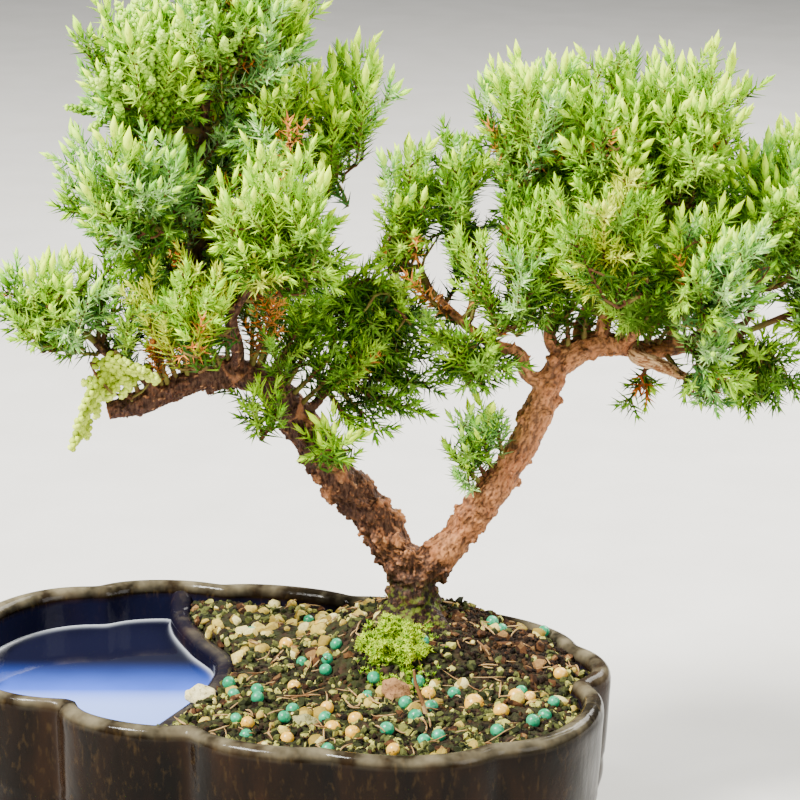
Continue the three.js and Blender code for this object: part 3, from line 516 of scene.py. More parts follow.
def new_mesh(name, points, face_groups, attributes=None, smooth=True):
    """A mesh from points in millimetres and arrays of faces with equal corner counts."""
    mesh = bpy.data.meshes.new(name)
    points = np.asarray(points, np.float32) * MM
    groups = [np.asarray(group, np.int32) for group in face_groups if len(group)]
    mesh.vertices.add(len(points))
    mesh.vertices.foreach_set("co", points.ravel())
    if groups:
        corners = np.concatenate([group.ravel() for group in groups])
        totals = np.concatenate([np.full(len(group), group.shape[1]) for group in groups])
        starts = np.concatenate([[0], np.cumsum(totals)[:-1]]).astype(np.int32)
        mesh.loops.add(len(corners))
        mesh.loops.foreach_set("vertex_index", corners)
        mesh.polygons.add(len(totals))
        mesh.polygons.foreach_set("loop_start", starts)
        mesh.polygons.foreach_set("use_smooth", np.full(len(totals), smooth))
    for key, values in (attributes or {}).items():
        store(mesh, key, values)
    mesh.update(calc_edges=True)
    mesh.validate()
    return mesh


def new_object(name, mesh):
    """An object in the scene that shows a mesh."""
    made = bpy.data.objects.new(name, mesh)
    bpy.context.scene.collection.objects.link(made)
    return made


def read_points(mesh):
    """A mesh's points in metres."""
    points = np.empty(len(mesh.vertices) * 3, np.float32)
    mesh.vertices.foreach_get("co", points)
    return points.reshape(-1, 3)


def set_points(mesh, points):
    """Moves a mesh's points to these places in millimetres."""
    mesh.vertices.foreach_set("co", (points * MM).astype(np.float32).ravel())
    mesh.update()


def chain_mesh(lines):
    """Chains of points joined by edges, from pairs of points and radii."""
    chains, radii = zip(*lines)
    mesh = bpy.data.meshes.new("chains")
    points = np.concatenate(chains).astype(np.float32) * MM
    mesh.vertices.add(len(points))
    mesh.vertices.foreach_set("co", points.ravel())
    last = np.cumsum([len(chain) for chain in chains]) - 1
    start = np.delete(np.arange(len(points)), last)
    mesh.edges.add(len(start))
    mesh.edges.foreach_set("vertices", np.stack([start, start + 1], 1).astype(np.int32).ravel())
    store(mesh, "thickness", np.concatenate(radii) * MM)
    mesh.update()
    return mesh


def grid_faces(rows, columns):
    """Quads between rows of points, each row joined end to end."""
    row = np.arange(rows - 1)[:, None] * columns
    here = np.arange(columns)[None, :]
    after = (here + 1) % columns
    return np.stack([row + here, row + after, row + columns + after, row + columns + here], -1).reshape(-1, 4)


def fan_faces(centre, ring, turned=False):
    """Triangles from a centre point to a closed ring of points."""
    middle = np.full(len(ring), centre)
    after = np.roll(ring, -1)
    return np.stack((middle, after, ring) if turned else (middle, ring, after), 1)


def drum_faces(rows, columns, turned=False):
    """A skin over rings of points, closed at both ends by the two points that follow them."""
    count = rows * columns
    quads = grid_faces(rows, columns)
    return [
        quads[:, ::-1] if turned else quads,
        fan_faces(count, np.arange(columns), not turned),
        fan_faces(count + 1, np.arange(count - columns, count), turned),
    ]


def add_piece(mesh, slot, *nodes, material=None):
    """A piece named as its mesh: it rides with the body and stands for its nodes; its slot is not used."""
    piece = new_object(mesh.name, mesh)
    if material:
        mesh.materials.clear()
        mesh.materials.append(material)
    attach(piece, BODY)
    if nodes:
        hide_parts(*nodes)


def drop(*objects):
    """Removes helpers that aren't part of the model."""
    for made in objects:
        data = made.data
        bpy.data.objects.remove(made)
        if data.users == 0:
            bpy.data.meshes.remove(data)


# Node trees
def set_input(tree, socket, value):
    """Links a socket to another one, or gives it a value."""
    if isinstance(value, bpy.types.NodeSocket):
        tree.links.new(value, socket)
    else:
        socket.default_value = value


def add_node(tree, kind, settings=None, inputs=None):
    """One node with its settings, and its inputs by name or number."""
    made = tree.nodes.new(kind)
    for key, value in (settings or {}).items():
        setattr(made, key, value)
    for key, value in (inputs or {}).items():
        set_input(tree, made.inputs[key], value)
    return made


def vector_math(tree, operation, one, two):
    """Two vectors, or a vector and its scale, put together."""
    second = "Scale" if operation == "SCALE" else 1
    return add_node(tree, "ShaderNodeVectorMath", {"operation": operation}, {0: one, second: two}).outputs[0]


def geometry_tree(name, sockets):
    """An empty Geometry Nodes tree with these named inputs, and its input node."""
    tree = bpy.data.node_groups.new(name, "GeometryNodeTree")
    tree.interface.new_socket("Geometry", in_out="INPUT", socket_type="NodeSocketGeometry")
    tree.interface.new_socket("Geometry", in_out="OUTPUT", socket_type="NodeSocketGeometry")
    for label, kind in sockets:
        tree.interface.new_socket(label, in_out="INPUT", socket_type=kind)
    return tree, tree.nodes.new("NodeGroupInput").outputs


def end_tree(tree, geometry, materials):
    """Realizes the instances and deals out the materials, the first to all and the others by attribute."""
    geometry = add_node(tree, "GeometryNodeRealizeInstances", inputs={"Geometry": geometry}).outputs[0]
    for attribute, value, material in materials:
        inputs = {"Geometry": geometry, "Material": material}
        if attribute:
            settings = {"data_type": "INT", "operation": "EQUAL"}
            sides = {2: named_attribute(tree, attribute, "INT"), 3: value}
            inputs["Selection"] = add_node(tree, "FunctionNodeCompare", settings, sides).outputs[0]
        geometry = add_node(tree, "GeometryNodeSetMaterial", inputs=inputs).outputs[0]
    add_node(tree, "NodeGroupOutput", inputs={"Geometry": geometry})
    return tree


def named_attribute(tree, name, kind):
    """A socket that reads one of the mesh's attributes."""
    node = add_node(tree, "GeometryNodeInputNamedAttribute", {"data_type": kind}, {"Name": name})
    return next(socket for socket in node.outputs if socket.enabled and socket.name == "Attribute")


def evaluated_mesh(source, name):
    """What an object's modifiers make of it, as a plain mesh."""
    graph = bpy.context.evaluated_depsgraph_get()
    mesh = bpy.data.meshes.new_from_object(source.evaluated_get(graph), depsgraph=graph)
    source.modifiers.clear()
    mesh.name = name
    return mesh


def apply_tree(source, tree, inputs, name):
    """What a tree with these inputs makes of an object, as a plain mesh."""
    modifier = source.modifiers.new(tree.name, "NODES")
    modifier.node_group = tree
    for item in tree.interface.items_tree:
        if item.item_type == "SOCKET" and item.in_out == "INPUT" and item.name in inputs:
            modifier[item.identifier] = inputs[item.name]
    source.update_tag()
    return evaluated_mesh(source, name)


def tube_tree(material):
    """Tubes along chains of points, as thick as their attribute says."""
    tree, given = geometry_tree("tubes", [("Sides", "NodeSocketInt")])
    curve = add_node(tree, "GeometryNodeMeshToCurve", inputs={"Mesh": given["Geometry"]})
    profile = add_node(tree, "GeometryNodeCurvePrimitiveCircle", inputs={
        "Resolution": given["Sides"], "Radius": 1.0,
    })
    swept = add_node(tree, "GeometryNodeCurveToMesh", inputs={
        "Curve": curve.outputs[0], "Profile Curve": profile.outputs["Curve"],
        "Scale": named_attribute(tree, "thickness", "FLOAT"), "Fill Caps": True,
    })
    smooth = add_node(tree, "GeometryNodeSetShadeSmooth", inputs={"Geometry": swept.outputs[0]})
    return end_tree(tree, smooth.outputs[0], [(None, 0, material)])


def tube_mesh(name, lines, sides, material=None):
    """Tubes along lines, which are pairs of points and radii, as one mesh."""
    source = new_object("lines", chain_mesh(lines))
    mesh = apply_tree(source, tube_tree(material), {"Sides": sides}, name)
    drop(source)
    return mesh


def placed_tree(name, materials, pale):
    """One template set on every point, turned and stretched by the point's attributes."""
    tree, given = geometry_tree(name, [("Template", "NodeSocketObject")])
    info = add_node(tree, "GeometryNodeObjectInfo", inputs={"Object": given["Template"]})
    placed = add_node(tree, "GeometryNodeInstanceOnPoints", inputs={
        "Points": given["Geometry"],
        "Instance": info.outputs["Geometry"],
        "Rotation": named_attribute(tree, "turn", "QUATERNION"),
        "Scale": named_attribute(tree, "stretch", "FLOAT_VECTOR"),
    })
    ranked = [("shade" if index else None, index, material) for index, material in enumerate(materials)]
    if pale:
        ranked.append(("pale", 1, pale))
    return end_tree(tree, placed.outputs[0], ranked)


def placed_mesh(name, template, materials, places, attributes, pale=None):
    """One template set on every place, as one mesh."""
    source = new_object("places", new_mesh("places", places, [], attributes))
    mesh = apply_tree(source, placed_tree(name, materials, pale), {"Template": template}, name)
    drop(source)
    return mesh


def scatter_tree(name, material):
    """Templates strewn over a surface by a mask, each turned and sized by chance."""
    floats = ["Density", "Spacing", "Smallest", "Largest", "Flatness", "Tumble"]
    tree, given = geometry_tree(name, [
        ("Templates", "NodeSocketCollection"), *[(label, "NodeSocketFloat") for label in floats],
        ("Seed", "NodeSocketInt"),
    ])
    strewn = add_node(tree, "GeometryNodeDistributePointsOnFaces", {"distribute_method": "POISSON"}, {
        "Mesh": given["Geometry"], "Distance Min": given["Spacing"], "Density Max": given["Density"],
        "Density Factor": named_attribute(tree, name, "FLOAT"), "Seed": given["Seed"],
    })
    info = add_node(tree, "GeometryNodeCollectionInfo", inputs={
        "Collection": given["Templates"], "Separate Children": True, "Reset Children": True,
    })
    tumble = vector_math(tree, "SCALE", (1, 1, 0), given["Tumble"])
    turn = add_node(tree, "FunctionNodeRandomValue", {"data_type": "FLOAT_VECTOR"}, {
        "Min": vector_math(tree, "SCALE", tumble, -1.0),
        "Max": vector_math(tree, "ADD", tumble, (0, 0, math.tau)), "Seed": given["Seed"],
    })
    size = add_node(tree, "FunctionNodeRandomValue", {"data_type": "FLOAT"}, {
        2: given["Smallest"], 3: given["Largest"], "Seed": given["Seed"],
    })
    flat = add_node(tree, "ShaderNodeCombineXYZ", inputs={"X": 1.0, "Y": 1.0, "Z": given["Flatness"]})
    laid = add_node(tree, "GeometryNodeInstanceOnPoints", inputs={
        "Points": strewn.outputs["Points"], "Instance": info.outputs[0], "Pick Instance": True,
        "Rotation": strewn.outputs["Rotation"],
        "Scale": vector_math(tree, "SCALE", flat.outputs[0], size.outputs[1]),
    })
    turned = add_node(tree, "GeometryNodeRotateInstances", inputs={
        "Instances": laid.outputs[0], "Rotation": turn.outputs[0],
    })
    return end_tree(tree, turned.outputs[0], [(None, 0, material)])


# Shader node groups
def shader_group(name, inputs, outputs):
    """An empty shader group with named sockets, its inputs and its output node."""
    tree = bpy.data.node_groups.new(name, "ShaderNodeTree")
    for label, kind, value in inputs:
        socket = tree.interface.new_socket(label, in_out="INPUT", socket_type=kind)
        socket.default_value = value
    for label in outputs:
        tree.interface.new_socket(label, in_out="OUTPUT", socket_type="NodeSocketFloat")
    return tree, tree.nodes.new("NodeGroupInput").outputs


def at_size(tree, size):
    """A texture's place and scale, so that its features are this many millimetres wide."""
    scale = add_node(tree, "ShaderNodeMath", {"operation": "DIVIDE"}, {0: 1 / MM, 1: size})
    return add_node(tree, "ShaderNodeTexCoord").outputs["Object"], scale.outputs[0]


def mottle_group():
    """Soft patches, drawn out along an axis, from 0 to 1."""
    if "mottle" in bpy.data.node_groups:
        return bpy.data.node_groups["mottle"]
    tree, given = shader_group("mottle", [
        ("Size", "NodeSocketFloat", 5.0),
        ("Stretch", "NodeSocketVector", (1.0, 1.0, 1.0)),
        ("Detail", "NodeSocketFloat", 3.0),
        ("Low", "NodeSocketFloat", 0.4),
        ("High", "NodeSocketFloat", 0.6),
    ], ["Mask"])
    place, scale = at_size(tree, given["Size"])
    cloud = add_node(tree, "ShaderNodeTexNoise", inputs={
        "Vector": vector_math(tree, "DIVIDE", place, given["Stretch"]), "Scale": scale,
        "Detail": given["Detail"],
    })
    ranged = add_node(tree, "ShaderNodeMapRange", inputs={
        "Value": cloud.outputs[0], "From Min": given["Low"], "From Max": given["High"],
    })
    add_node(tree, "NodeGroupOutput", inputs={"Mask": ranged.outputs[0]})
    return tree


def grains_group():
    """Round grains: how near each grain's middle, and its own value."""
    if "grains" in bpy.data.node_groups:
        return bpy.data.node_groups["grains"]
    tree, given = shader_group("grains", [
        ("Size", "NodeSocketFloat", 1.0), ("Reach", "NodeSocketFloat", 0.5),
    ], ["Mask", "Chance"])
    place, scale = at_size(tree, given["Size"])
    cells = add_node(tree, "ShaderNodeTexVoronoi", inputs={"Vector": place, "Scale": scale})
    ranged = add_node(tree, "ShaderNodeMapRange", inputs={
        "Value": cells.outputs["Distance"], "From Min": given["Reach"], "From Max": 0.0,
    })
    split = add_node(tree, "ShaderNodeSeparateColor", inputs={"Color": cells.outputs["Color"]})
    add_node(tree, "NodeGroupOutput", inputs={"Mask": ranged.outputs[0], "Chance": split.outputs[0]})
    return tree


# How much the wood, soil and needles shine
DULL = 0.12


class Finish:
    """One procedural material, built from masks and colours."""

    def __init__(self, name, roughness=0.6, **sockets):
        if name in bpy.data.materials:
            bpy.data.materials.remove(bpy.data.materials[name])
        self.material = bpy.data.materials.new(name)
        self.material.use_nodes = True
        self.tree = self.material.node_tree
        self.shader = self.tree.nodes["Principled BSDF"]
        self.shader.inputs["Roughness"].default_value = roughness
        for key, value in {"Specular_IOR_Level": DULL, **sockets}.items():
            self.shader.inputs[key.replace("_", " ")].default_value = value

    def mottle(self, size, low=0.4, high=0.6, detail=3.0, stretch=(1, 1, 1)):
        """A mask of soft patches."""
        inputs = {"Size": size, "Low": low, "High": high, "Detail": detail, "Stretch": stretch}
        return add_node(self.tree, "ShaderNodeGroup", {"node_tree": mottle_group()}, inputs).outputs[0]

    def grains(self, size, reach=0.5):
        """A mask of round grains, and each grain's own value."""
        inputs = {"Size": size, "Reach": reach}
        return add_node(self.tree, "ShaderNodeGroup", {"node_tree": grains_group()}, inputs).outputs[:2]

    def attribute(self, name):
        """A mask stored on the mesh."""
        return add_node(self.tree, "ShaderNodeAttribute", {"attribute_name": name}).outputs["Fac"]

    def times(self, one, two):
        """Two masks multiplied."""
        settings = {"operation": "MULTIPLY", "use_clamp": True}
        return add_node(self.tree, "ShaderNodeMath", settings, {0: one, 1: two}).outputs[0]

    def ramp(self, mask, low, high, start=0.0, end=1.0):
        """A mask stretched to run from start to end between low and high."""
        return add_node(self.tree, "ShaderNodeMapRange", inputs={
            "Value": mask, "From Min": low, "From Max": high, "To Min": start, "To Max": end,
        }).outputs[0]

    def mix(self, mask, one, two):
        """One colour turning into another by a mask."""
        inputs = {0: mask, 6: one, 7: two}
        return add_node(self.tree, "ShaderNodeMix", {"data_type": "RGBA"}, inputs).outputs[2]

    def colour(self, value):
        """The base colour, plain or from a socket."""
        self.feed("Base Color", value)
        return self

    def feed(self, key, value):
        """Sets or links one of the shader's inputs."""
        set_input(self.tree, self.shader.inputs[key], value)

    def bump(self, height, depth, strength=1.0):
        """Relief from a mask, as deep as this many millimetres."""
        below = self.shader.inputs["Normal"].links
        inputs = {"Height": height, "Distance": depth * MM, "Strength": strength}
        if below:
            inputs["Normal"] = below[0].from_socket
        node = add_node(self.tree, "ShaderNodeBump", inputs=inputs)
        self.tree.links.new(node.outputs[0], self.shader.inputs["Normal"])
        return self


# Settings
def length_setting(name, description, default):
    """A length that a user may change, in metres as Blender keeps it."""
    return bpy.props.FloatProperty(name=name, description=description, default=default * MM, unit="LENGTH")


def colour_setting(name, description, colour):
    """A colour that a user may change."""
    return bpy.props.FloatVectorProperty(
        name=name, description=description, size=4, subtype="COLOR", default=srgb(*colour), min=0, max=1
    )


def count_setting(name, description, default):
    """A number of things."""
    return bpy.props.IntProperty(name=name, description=description, default=default, min=1)


def angle_setting(name, description, degrees):
    """An angle that a user may change."""
    return bpy.props.FloatProperty(
        name=name, description=description, default=math.radians(degrees), subtype="ANGLE"
    )


class JUNIPER_PG_stage(bpy.types.PropertyGroup):
    """Camera and light."""

    azimuth: angle_setting("Azimuth", "How far round the camera stands", 20)
    elevation: angle_setting("Elevation", "How high the camera stands", 16)
    distance: length_setting("Distance", "From the camera to what it looks at", 862)
    view_angle: angle_setting("View angle", "Width of the camera's view", 15.34)
    aim: bpy.props.FloatVectorProperty(
        name="Aim", description="What the camera looks at", size=3, subtype="TRANSLATION",
        default=(0.0406, 0.0005, 0.1613),
    )
    light: bpy.props.FloatProperty(
        name="Light", description="Strength of the studio light", default=1.1, min=0
    )
    floor_colour: colour_setting("Floor", "Colour of the floor", (226, 224, 220))


class JUNIPER_PG_pot(bpy.types.PropertyGroup):
    """Pot, its glaze and the water."""

    sides: count_setting("Sides", "Faces round the pot", 420)
    glaze: colour_setting("Glaze", "Dark body of the glaze", (7, 4, 2))
    streaks: colour_setting("Streaks", "Where the glaze has run thin", (40, 23, 9))
    # The lip colour is partly the glaze breaking over the rim and partly a painted highlight
    lip: colour_setting("Lip", "Where the glaze breaks over the rim", (140, 130, 104))
    inside: colour_setting("Inside", "Glaze inside the basin", (18, 20, 42))
    water_level: length_setting("Water level", "Height of the water", WATER_LEVEL)
    # The water colour is the painted reflection of the sky, seen in front
    water: colour_setting("Water", "Colour of the water", (70, 108, 236))


class JUNIPER_PG_soil(bpy.types.PropertyGroup):
    """Soil and what lies on it."""

    crumbs: count_setting("Crumbs", "Crumbs on each square centimetre", 64)
    gravel: count_setting("Gravel", "Pale stones on each square centimetre", 5)
    humus: colour_setting("Humus", "Dark soil", (14, 9, 5))
    algae: colour_setting("Algae", "Green bloom on the soil", (40, 44, 18))
    teal: colour_setting("Teal beads", "Colour of the green beads", (6, 142, 94))
    cream: colour_setting("Cream beads", "Colour of the pale beads", (230, 172, 40))
    moss: colour_setting("Moss", "Colour of the moss", (132, 178, 0))


class JUNIPER_PG_bark(bpy.types.PropertyGroup):
    """Bark."""

    voxel: length_setting("Voxel", "Grain of the bark's mesh", 0.55)
    relief: length_setting("Relief", "Depth of the bark's plates", 1.25)
    knobs: count_setting("Knobs", "Old shoot stubs on each stem", 44)
    plates: colour_setting("Plates", "Weathered bark", (206, 138, 82))
    # The crack colour is partly darker bark and partly painted shade
    cracks: colour_setting("Cracks", "Bark in the cracks", (38, 18, 8))


class JUNIPER_PG_foliage(bpy.types.PropertyGroup):
    """Sprays of needles."""

    fineness: count_setting("Fineness", "Most sprays for each shoot of the part's source", 14)
    spacing: length_setting("Spacing", "Least distance between sprays", 4.6)
    whorl: length_setting("Whorl spacing", "From one ring of needles to the next", 1.6)
    needle_length: length_setting("Needle length", "Length of a needle", 5.9)
    needle_width: length_setting("Needle width", "Width of a needle", 1.0)
    bud_length: length_setting("Bud length", "Length of a bud", 8.0)
    bud_width: length_setting("Bud width", "Width of a bud", 2.6)
    twig: colour_setting("Twig", "Bark of the twigs", (92, 60, 38))


# Stage
def look_at(place, aim):
    """The rotation of a camera or light at place that looks at aim."""
    return (Vector(aim) - Vector(place)).to_track_quat("-Z", "Y").to_euler()


def add_light(name, place, aim, size, power, colour=(1, 1, 1)):
    """A soft square light."""
    data = bpy.data.lights.new(name, "AREA")
    data.shape = "SQUARE"
    data.size = size
    data.energy = power
    data.color = colour
    light = bpy.data.objects.new(name, data)
    light.location = place
    light.rotation_euler = look_at(place, aim)
    bpy.context.scene.collection.objects.link(light)


class JUNIPER_OT_stage(bpy.types.Operator):
    """Camera at the photograph's angle, soft light and a pale floor."""

    bl_idname = "juniper.stage"
    bl_label = "Stage"

    def execute(self, context):
        settings = context.scene.juniper_stage
        aim = Vector(settings.aim)
        flat = math.cos(settings.elevation)
        turn = settings.azimuth
        back = Vector((math.sin(turn) * flat, -math.cos(turn) * flat, math.sin(settings.elevation)))
        data = bpy.data.cameras.new("camera")
        data.sensor_fit = "HORIZONTAL"
        data.angle = settings.view_angle
        data.clip_start = 0.05
        data.clip_end = 20
        camera = bpy.data.objects.new("camera", data)
        camera.location = aim + back * settings.distance
        camera.rotation_euler = look_at(camera.location, aim)
        context.scene.collection.objects.link(camera)
        context.scene.camera = camera

        self.add_floor(settings)
        middle = (0.02, 0, 0.13)
        add_light("key", (-0.6, -0.75, 1.25), middle, 0.36, 84 * settings.light, (1, 0.98, 0.93))
        add_light("back", (0.35, 0.95, 1.0), middle, 0.8, 38 * settings.light, (1, 0.98, 0.92))
        add_light("side", (1.2, -0.5, 0.6), middle, 0.6, 10 * settings.light)
        world = bpy.data.worlds.new("studio")
        world.use_nodes = True
        background = world.node_tree.nodes["Background"]
        background.inputs["Color"].default_value = (0.86, 0.9, 0.96, 1)
        background.inputs["Strength"].default_value = 0.18 * settings.light
        context.scene.world = world
        return {"FINISHED"}

    def add_floor(self, settings):
        """A wide round floor that fills the view."""
        turn = np.arange(FLOOR_SIDES) * math.tau / FLOOR_SIDES
        points = np.stack([FLOOR_REACH * np.cos(turn), FLOOR_REACH * np.sin(turn), 0 * turn - 0.05], 1)
        mesh = new_mesh("floor", points, [np.arange(FLOOR_SIDES)[None, :]], smooth=False)
        finish = Finish("floor_paper", roughness=0.9)
        finish.colour(finish.mix(finish.mottle(40, 0.2, 0.8), settings.floor_colour, srgb(216, 214, 209)))
        mesh.materials.append(finish.material)
        new_object("floor", mesh)


# Pot
def pot_radius(angle, height):
    """The pot's outer radius in these directions at these heights."""
    half_width = POT_HALF_WIDTH * (1 + POT_TAPER * np.cos(angle))
    across = np.abs(np.cos(angle) / POT_HALF_LENGTH) ** POT_SQUARENESS
    along = np.abs(np.sin(angle) / half_width) ** POT_SQUARENESS
    radius = (across + along) ** (-1 / POT_SQUARENESS)
    depth = 0
    for degrees, deep in NOTCHES:
        away = angle - math.radians(degrees)
        away = np.arctan2(np.sin(away), np.cos(away)) * radius
        away = np.hypot(away, NOTCH_ROUNDING) - NOTCH_ROUNDING
        depth = depth + deep * np.exp(-away / NOTCH_REACH)
    return radius - lerp(NOTCH_AT_FOOT, 1, np.clip(height / POT_HEIGHT, 0, 1)) * depth


def wall_inset(height):
    """How far the outer wall stands in from the rim at these heights."""
    insets, heights = zip(*WALL_PROFILE[:ROWS_BELOW_LIP])
    return np.interp(height, heights, insets)


def divider_line(steps=160):
    """Points along the middle of the divider, seen from above."""
    knots = [(x, y, 0) for x, y in DIVIDER_ROUTE]
    return Route(knots).at(np.linspace(0, 1, steps))[:, :2]


DIVIDER = divider_line()


def divider_distance(points):
    """How far points stand from the divider's middle: positive on the soil's side."""
    gaps = points[:, None, :] - DIVIDER[None, :-1, :]
    lines = np.diff(DIVIDER, axis=0)[None]
    share = np.clip((gaps * lines).sum(-1) / (lines**2).sum(-1), 0, 1)
    away = gaps - lines * share[..., None]
    distance = np.linalg.norm(away, axis=-1)
    nearest = distance.argmin(1)
    rows = np.arange(len(points))
    line = lines[0][nearest]
    offset = away[rows, nearest]
    side = line[:, 0] * offset[:, 1] - line[:, 1] * offset[:, 0]
    return distance[rows, nearest] * np.sign(side)


def inner_reach(centre, angles, height, side, gap):
    """How far it is from a centre to the wall or the divider in each direction."""
    inset = wall_inset(height)

    def fits(reach):
        points = np.stack([centre[0] + reach * np.cos(angles), centre[1] + reach * np.sin(angles)], 1)
        return is_inside(points, height, inset, side, gap)

    step = 1.5
    low = np.zeros(len(angles))
    going = np.ones(len(angles), bool)
    while going.any():
        going &= fits(low + step)
        low = np.where(going, low + step, low)
    high = low + step
    for _ in range(12):
        middle = (low + high) / 2
        inside = fits(middle)
        low = np.where(inside, middle, low)
        high = np.where(inside, high, middle)
    return low


def is_inside(points, height, inset, side, gap):
    """Whether points lie inside the wall and on the wanted side of the divider."""
    radius = np.hypot(points[:, 0], points[:, 1])
    angle = np.arctan2(points[:, 1], points[:, 0])
    wall = pot_radius(angle, height) - inset - POT_WALL - gap - radius
    across = side * divider_distance(points) - DIVIDER_THICKNESS / 2 - gap
    return (wall > 0) & (across > 0)


def pot_profile():
    """The pot's section: outside from the foot to the lip, then inside down to the floor."""
    knots = [(inset, 0, height) for inset, height in WALL_PROFILE]
    outer = Route(knots).at(np.linspace(0, 1, PROFILE_STEPS * (len(knots) - 1)))[:, [0, 2]]
    knots = [outer[-1], *[(wall_inset(height) + POT_WALL, height) for height in INNER_HEIGHTS], FLOOR_CORNER]
    inner = Route([(inset, 0, height) for inset, height in knots])
    return outer, inner.at(np.linspace(0, 1, 40))[1:, [0, 2]]


def glaze_finish(settings):
    """Dark streaked glaze that breaks olive over the lip, paler there as a painted highlight too, and pools
    blue inside.
    """
    finish = Finish("glaze", roughness=0.16, Specular_IOR_Level=0.07, Coat_Weight=0.02, Coat_Roughness=0.05)
    runs = finish.mottle(9, 0.36, 0.74, 4.0, (1, 1, 4))
    broad = finish.mottle(30, 0.36, 0.66, 2.0, (1, 1, 2.4))
    fine = finish.mottle(1.6, 0.56, 0.76, 2.0, (1, 1, 2.5))
    thin = finish.times(runs, finish.ramp(broad, 0, 1, 0.1, 1))
    body = finish.mix(thin, settings.glaze, settings.streaks)
    body = finish.mix(finish.times(fine, 0.12), body, srgb(108, 84, 44))
    body = finish.mix(finish.times(finish.attribute("inside"), 0.8), body, settings.inside)
    # The pale lip colour, laid on in patches: the glaze breaking thin over the rim and a painted highlight
    pale_patches = finish.ramp(finish.mottle(9, 0.4, 0.66), 0, 1, 0.05, 0.56)
    finish.colour(finish.mix(finish.times(finish.attribute("lip"), pale_patches), body, settings.lip))
    finish.feed("Roughness", finish.ramp(broad, 0, 1, 0.09, 0.2))
    finish.bump(finish.mottle(9, 0.2, 0.8, 2.0, (1, 1, 3)), 0.5, 0.5)
    finish.bump(finish.mottle(1.3, 0.3, 0.8, 2.0), 0.06, 0.5)
    return finish.material


class JUNIPER_OT_pot(bpy.types.Operator):
    """The lobed pot with its divider, in a dark glaze."""

    bl_idname = "juniper.pot"
    bl_label = "Pot"

    def execute(self, context):
        settings = context.scene.juniper_pot
        shell = self.shell(settings.sides)
        divider = self.divider(len(shell[0]))
        points, inside, lip = [np.concatenate([shell[k], divider[k]]) for k in (0, 2, 3)]
        mesh = new_mesh("pot_glazed", points, [*shell[1], *divider[1]], {"inside": inside, "lip": lip})
        add_piece(mesh, "pot_glaze", "pot", material=glaze_finish(settings))
        return {"FINISHED"}

    def shell(self, sides):
        """The wall, the foot and the inside as one closed skin, and its inside and lip masks."""
        outer, inner = pot_profile()
        section = np.concatenate([outer, inner])
        rows = np.arange(len(section))
        angle, height = np.meshgrid(np.arange(sides) * math.tau / sides, section[:, 1])
        swell = RIPPLE * np.sin(height * 0.45 + 2 * np.sin(angle * 3)) * smoothstep(height, 4, 20)
        radius = pot_radius(angle, height) - section[:, :1] + np.where(rows[:, None] < RIPPLE_ROWS, swell, 0)
        points = np.stack([radius * np.cos(angle), radius * np.sin(angle), height], -1).reshape(-1, 3)
        points = np.concatenate([points, [[0, 0, 0], [0, 0, POT_FLOOR]]])
        is_inner = (rows >= len(outer)).astype(float)
        inside = np.concatenate([np.repeat(is_inner, sides), [0, 1]])
        lip = smoothstep(section[:, 1], *LIP_HEIGHTS) * (1 - is_inner)
        lip = np.concatenate([np.repeat(lip, sides), [0, 0]])
        return points, drum_faces(len(section), sides), inside, lip

    def lowest_inside(self, places):
        """How far down the divider can go at these places before it would show through the wall."""
        levels = np.arange(POT_FLOOR, 60.0)[:, None]
        radius = np.hypot(places[:, 0], places[:, 1])
        wall = pot_radius(np.arctan2(places[:, 1], places[:, 0])[None, :], levels)
        fits = radius < wall - wall_inset(levels) - DIVIDER_COVER
        fits[-1] = True
        return levels[np.argmax(fits, axis=0), 0]

    def divider(self, first):
        """The wall between water and soil, rounded along its top."""
        line = divider_line(90)
        heading = unit(np.gradient(line, axis=0))
        side = np.stack([-heading[:, 1], heading[:, 0]], 1)
        half = DIVIDER_THICKNESS / 2
        arc = np.linspace(0, math.pi, 9)
        across = np.concatenate([[half], half * np.cos(arc), [-half]])
        top = DIVIDER_TOP - DIVIDER_ROUNDING + DIVIDER_ROUNDING * np.sin(arc)
        height = np.concatenate([[POT_FLOOR], top, [POT_FLOOR]])
        radius = np.hypot(line[:, 0], line[:, 1])
        angle = np.arctan2(line[:, 1], line[:, 0])
        keep = radius < pot_radius(angle, 60) - 3.5
        line, side, radius, angle = [values[keep] for values in (line, side, radius, angle)]
        near_wall = smoothstep(radius - (pot_radius(angle, 66) - POT_WALL), -9, 0)
        rows = []
        for offset, level in zip(across, height):
            place = line + side * offset
            sweep = DIVIDER_SWEEP * near_wall**2
            level = level + sweep if level > POT_FLOOR else self.lowest_inside(place)
            rows.append(np.column_stack([place, level]))
        points = np.stack(rows, 1).reshape(-1, 3)
        count = len(across)
        caps = [np.arange(count)[None, :], np.arange(len(points) - count, len(points))[None, ::-1]]
        faces = [part + first for part in (grid_faces(len(line), count)[:, ::-1], *caps)]
        lip = 0.35 * smoothstep(height, DIVIDER_TOP - 1.2, DIVIDER_TOP)
        return points, faces, np.full(len(points), 0.55), np.tile(lip, len(line))


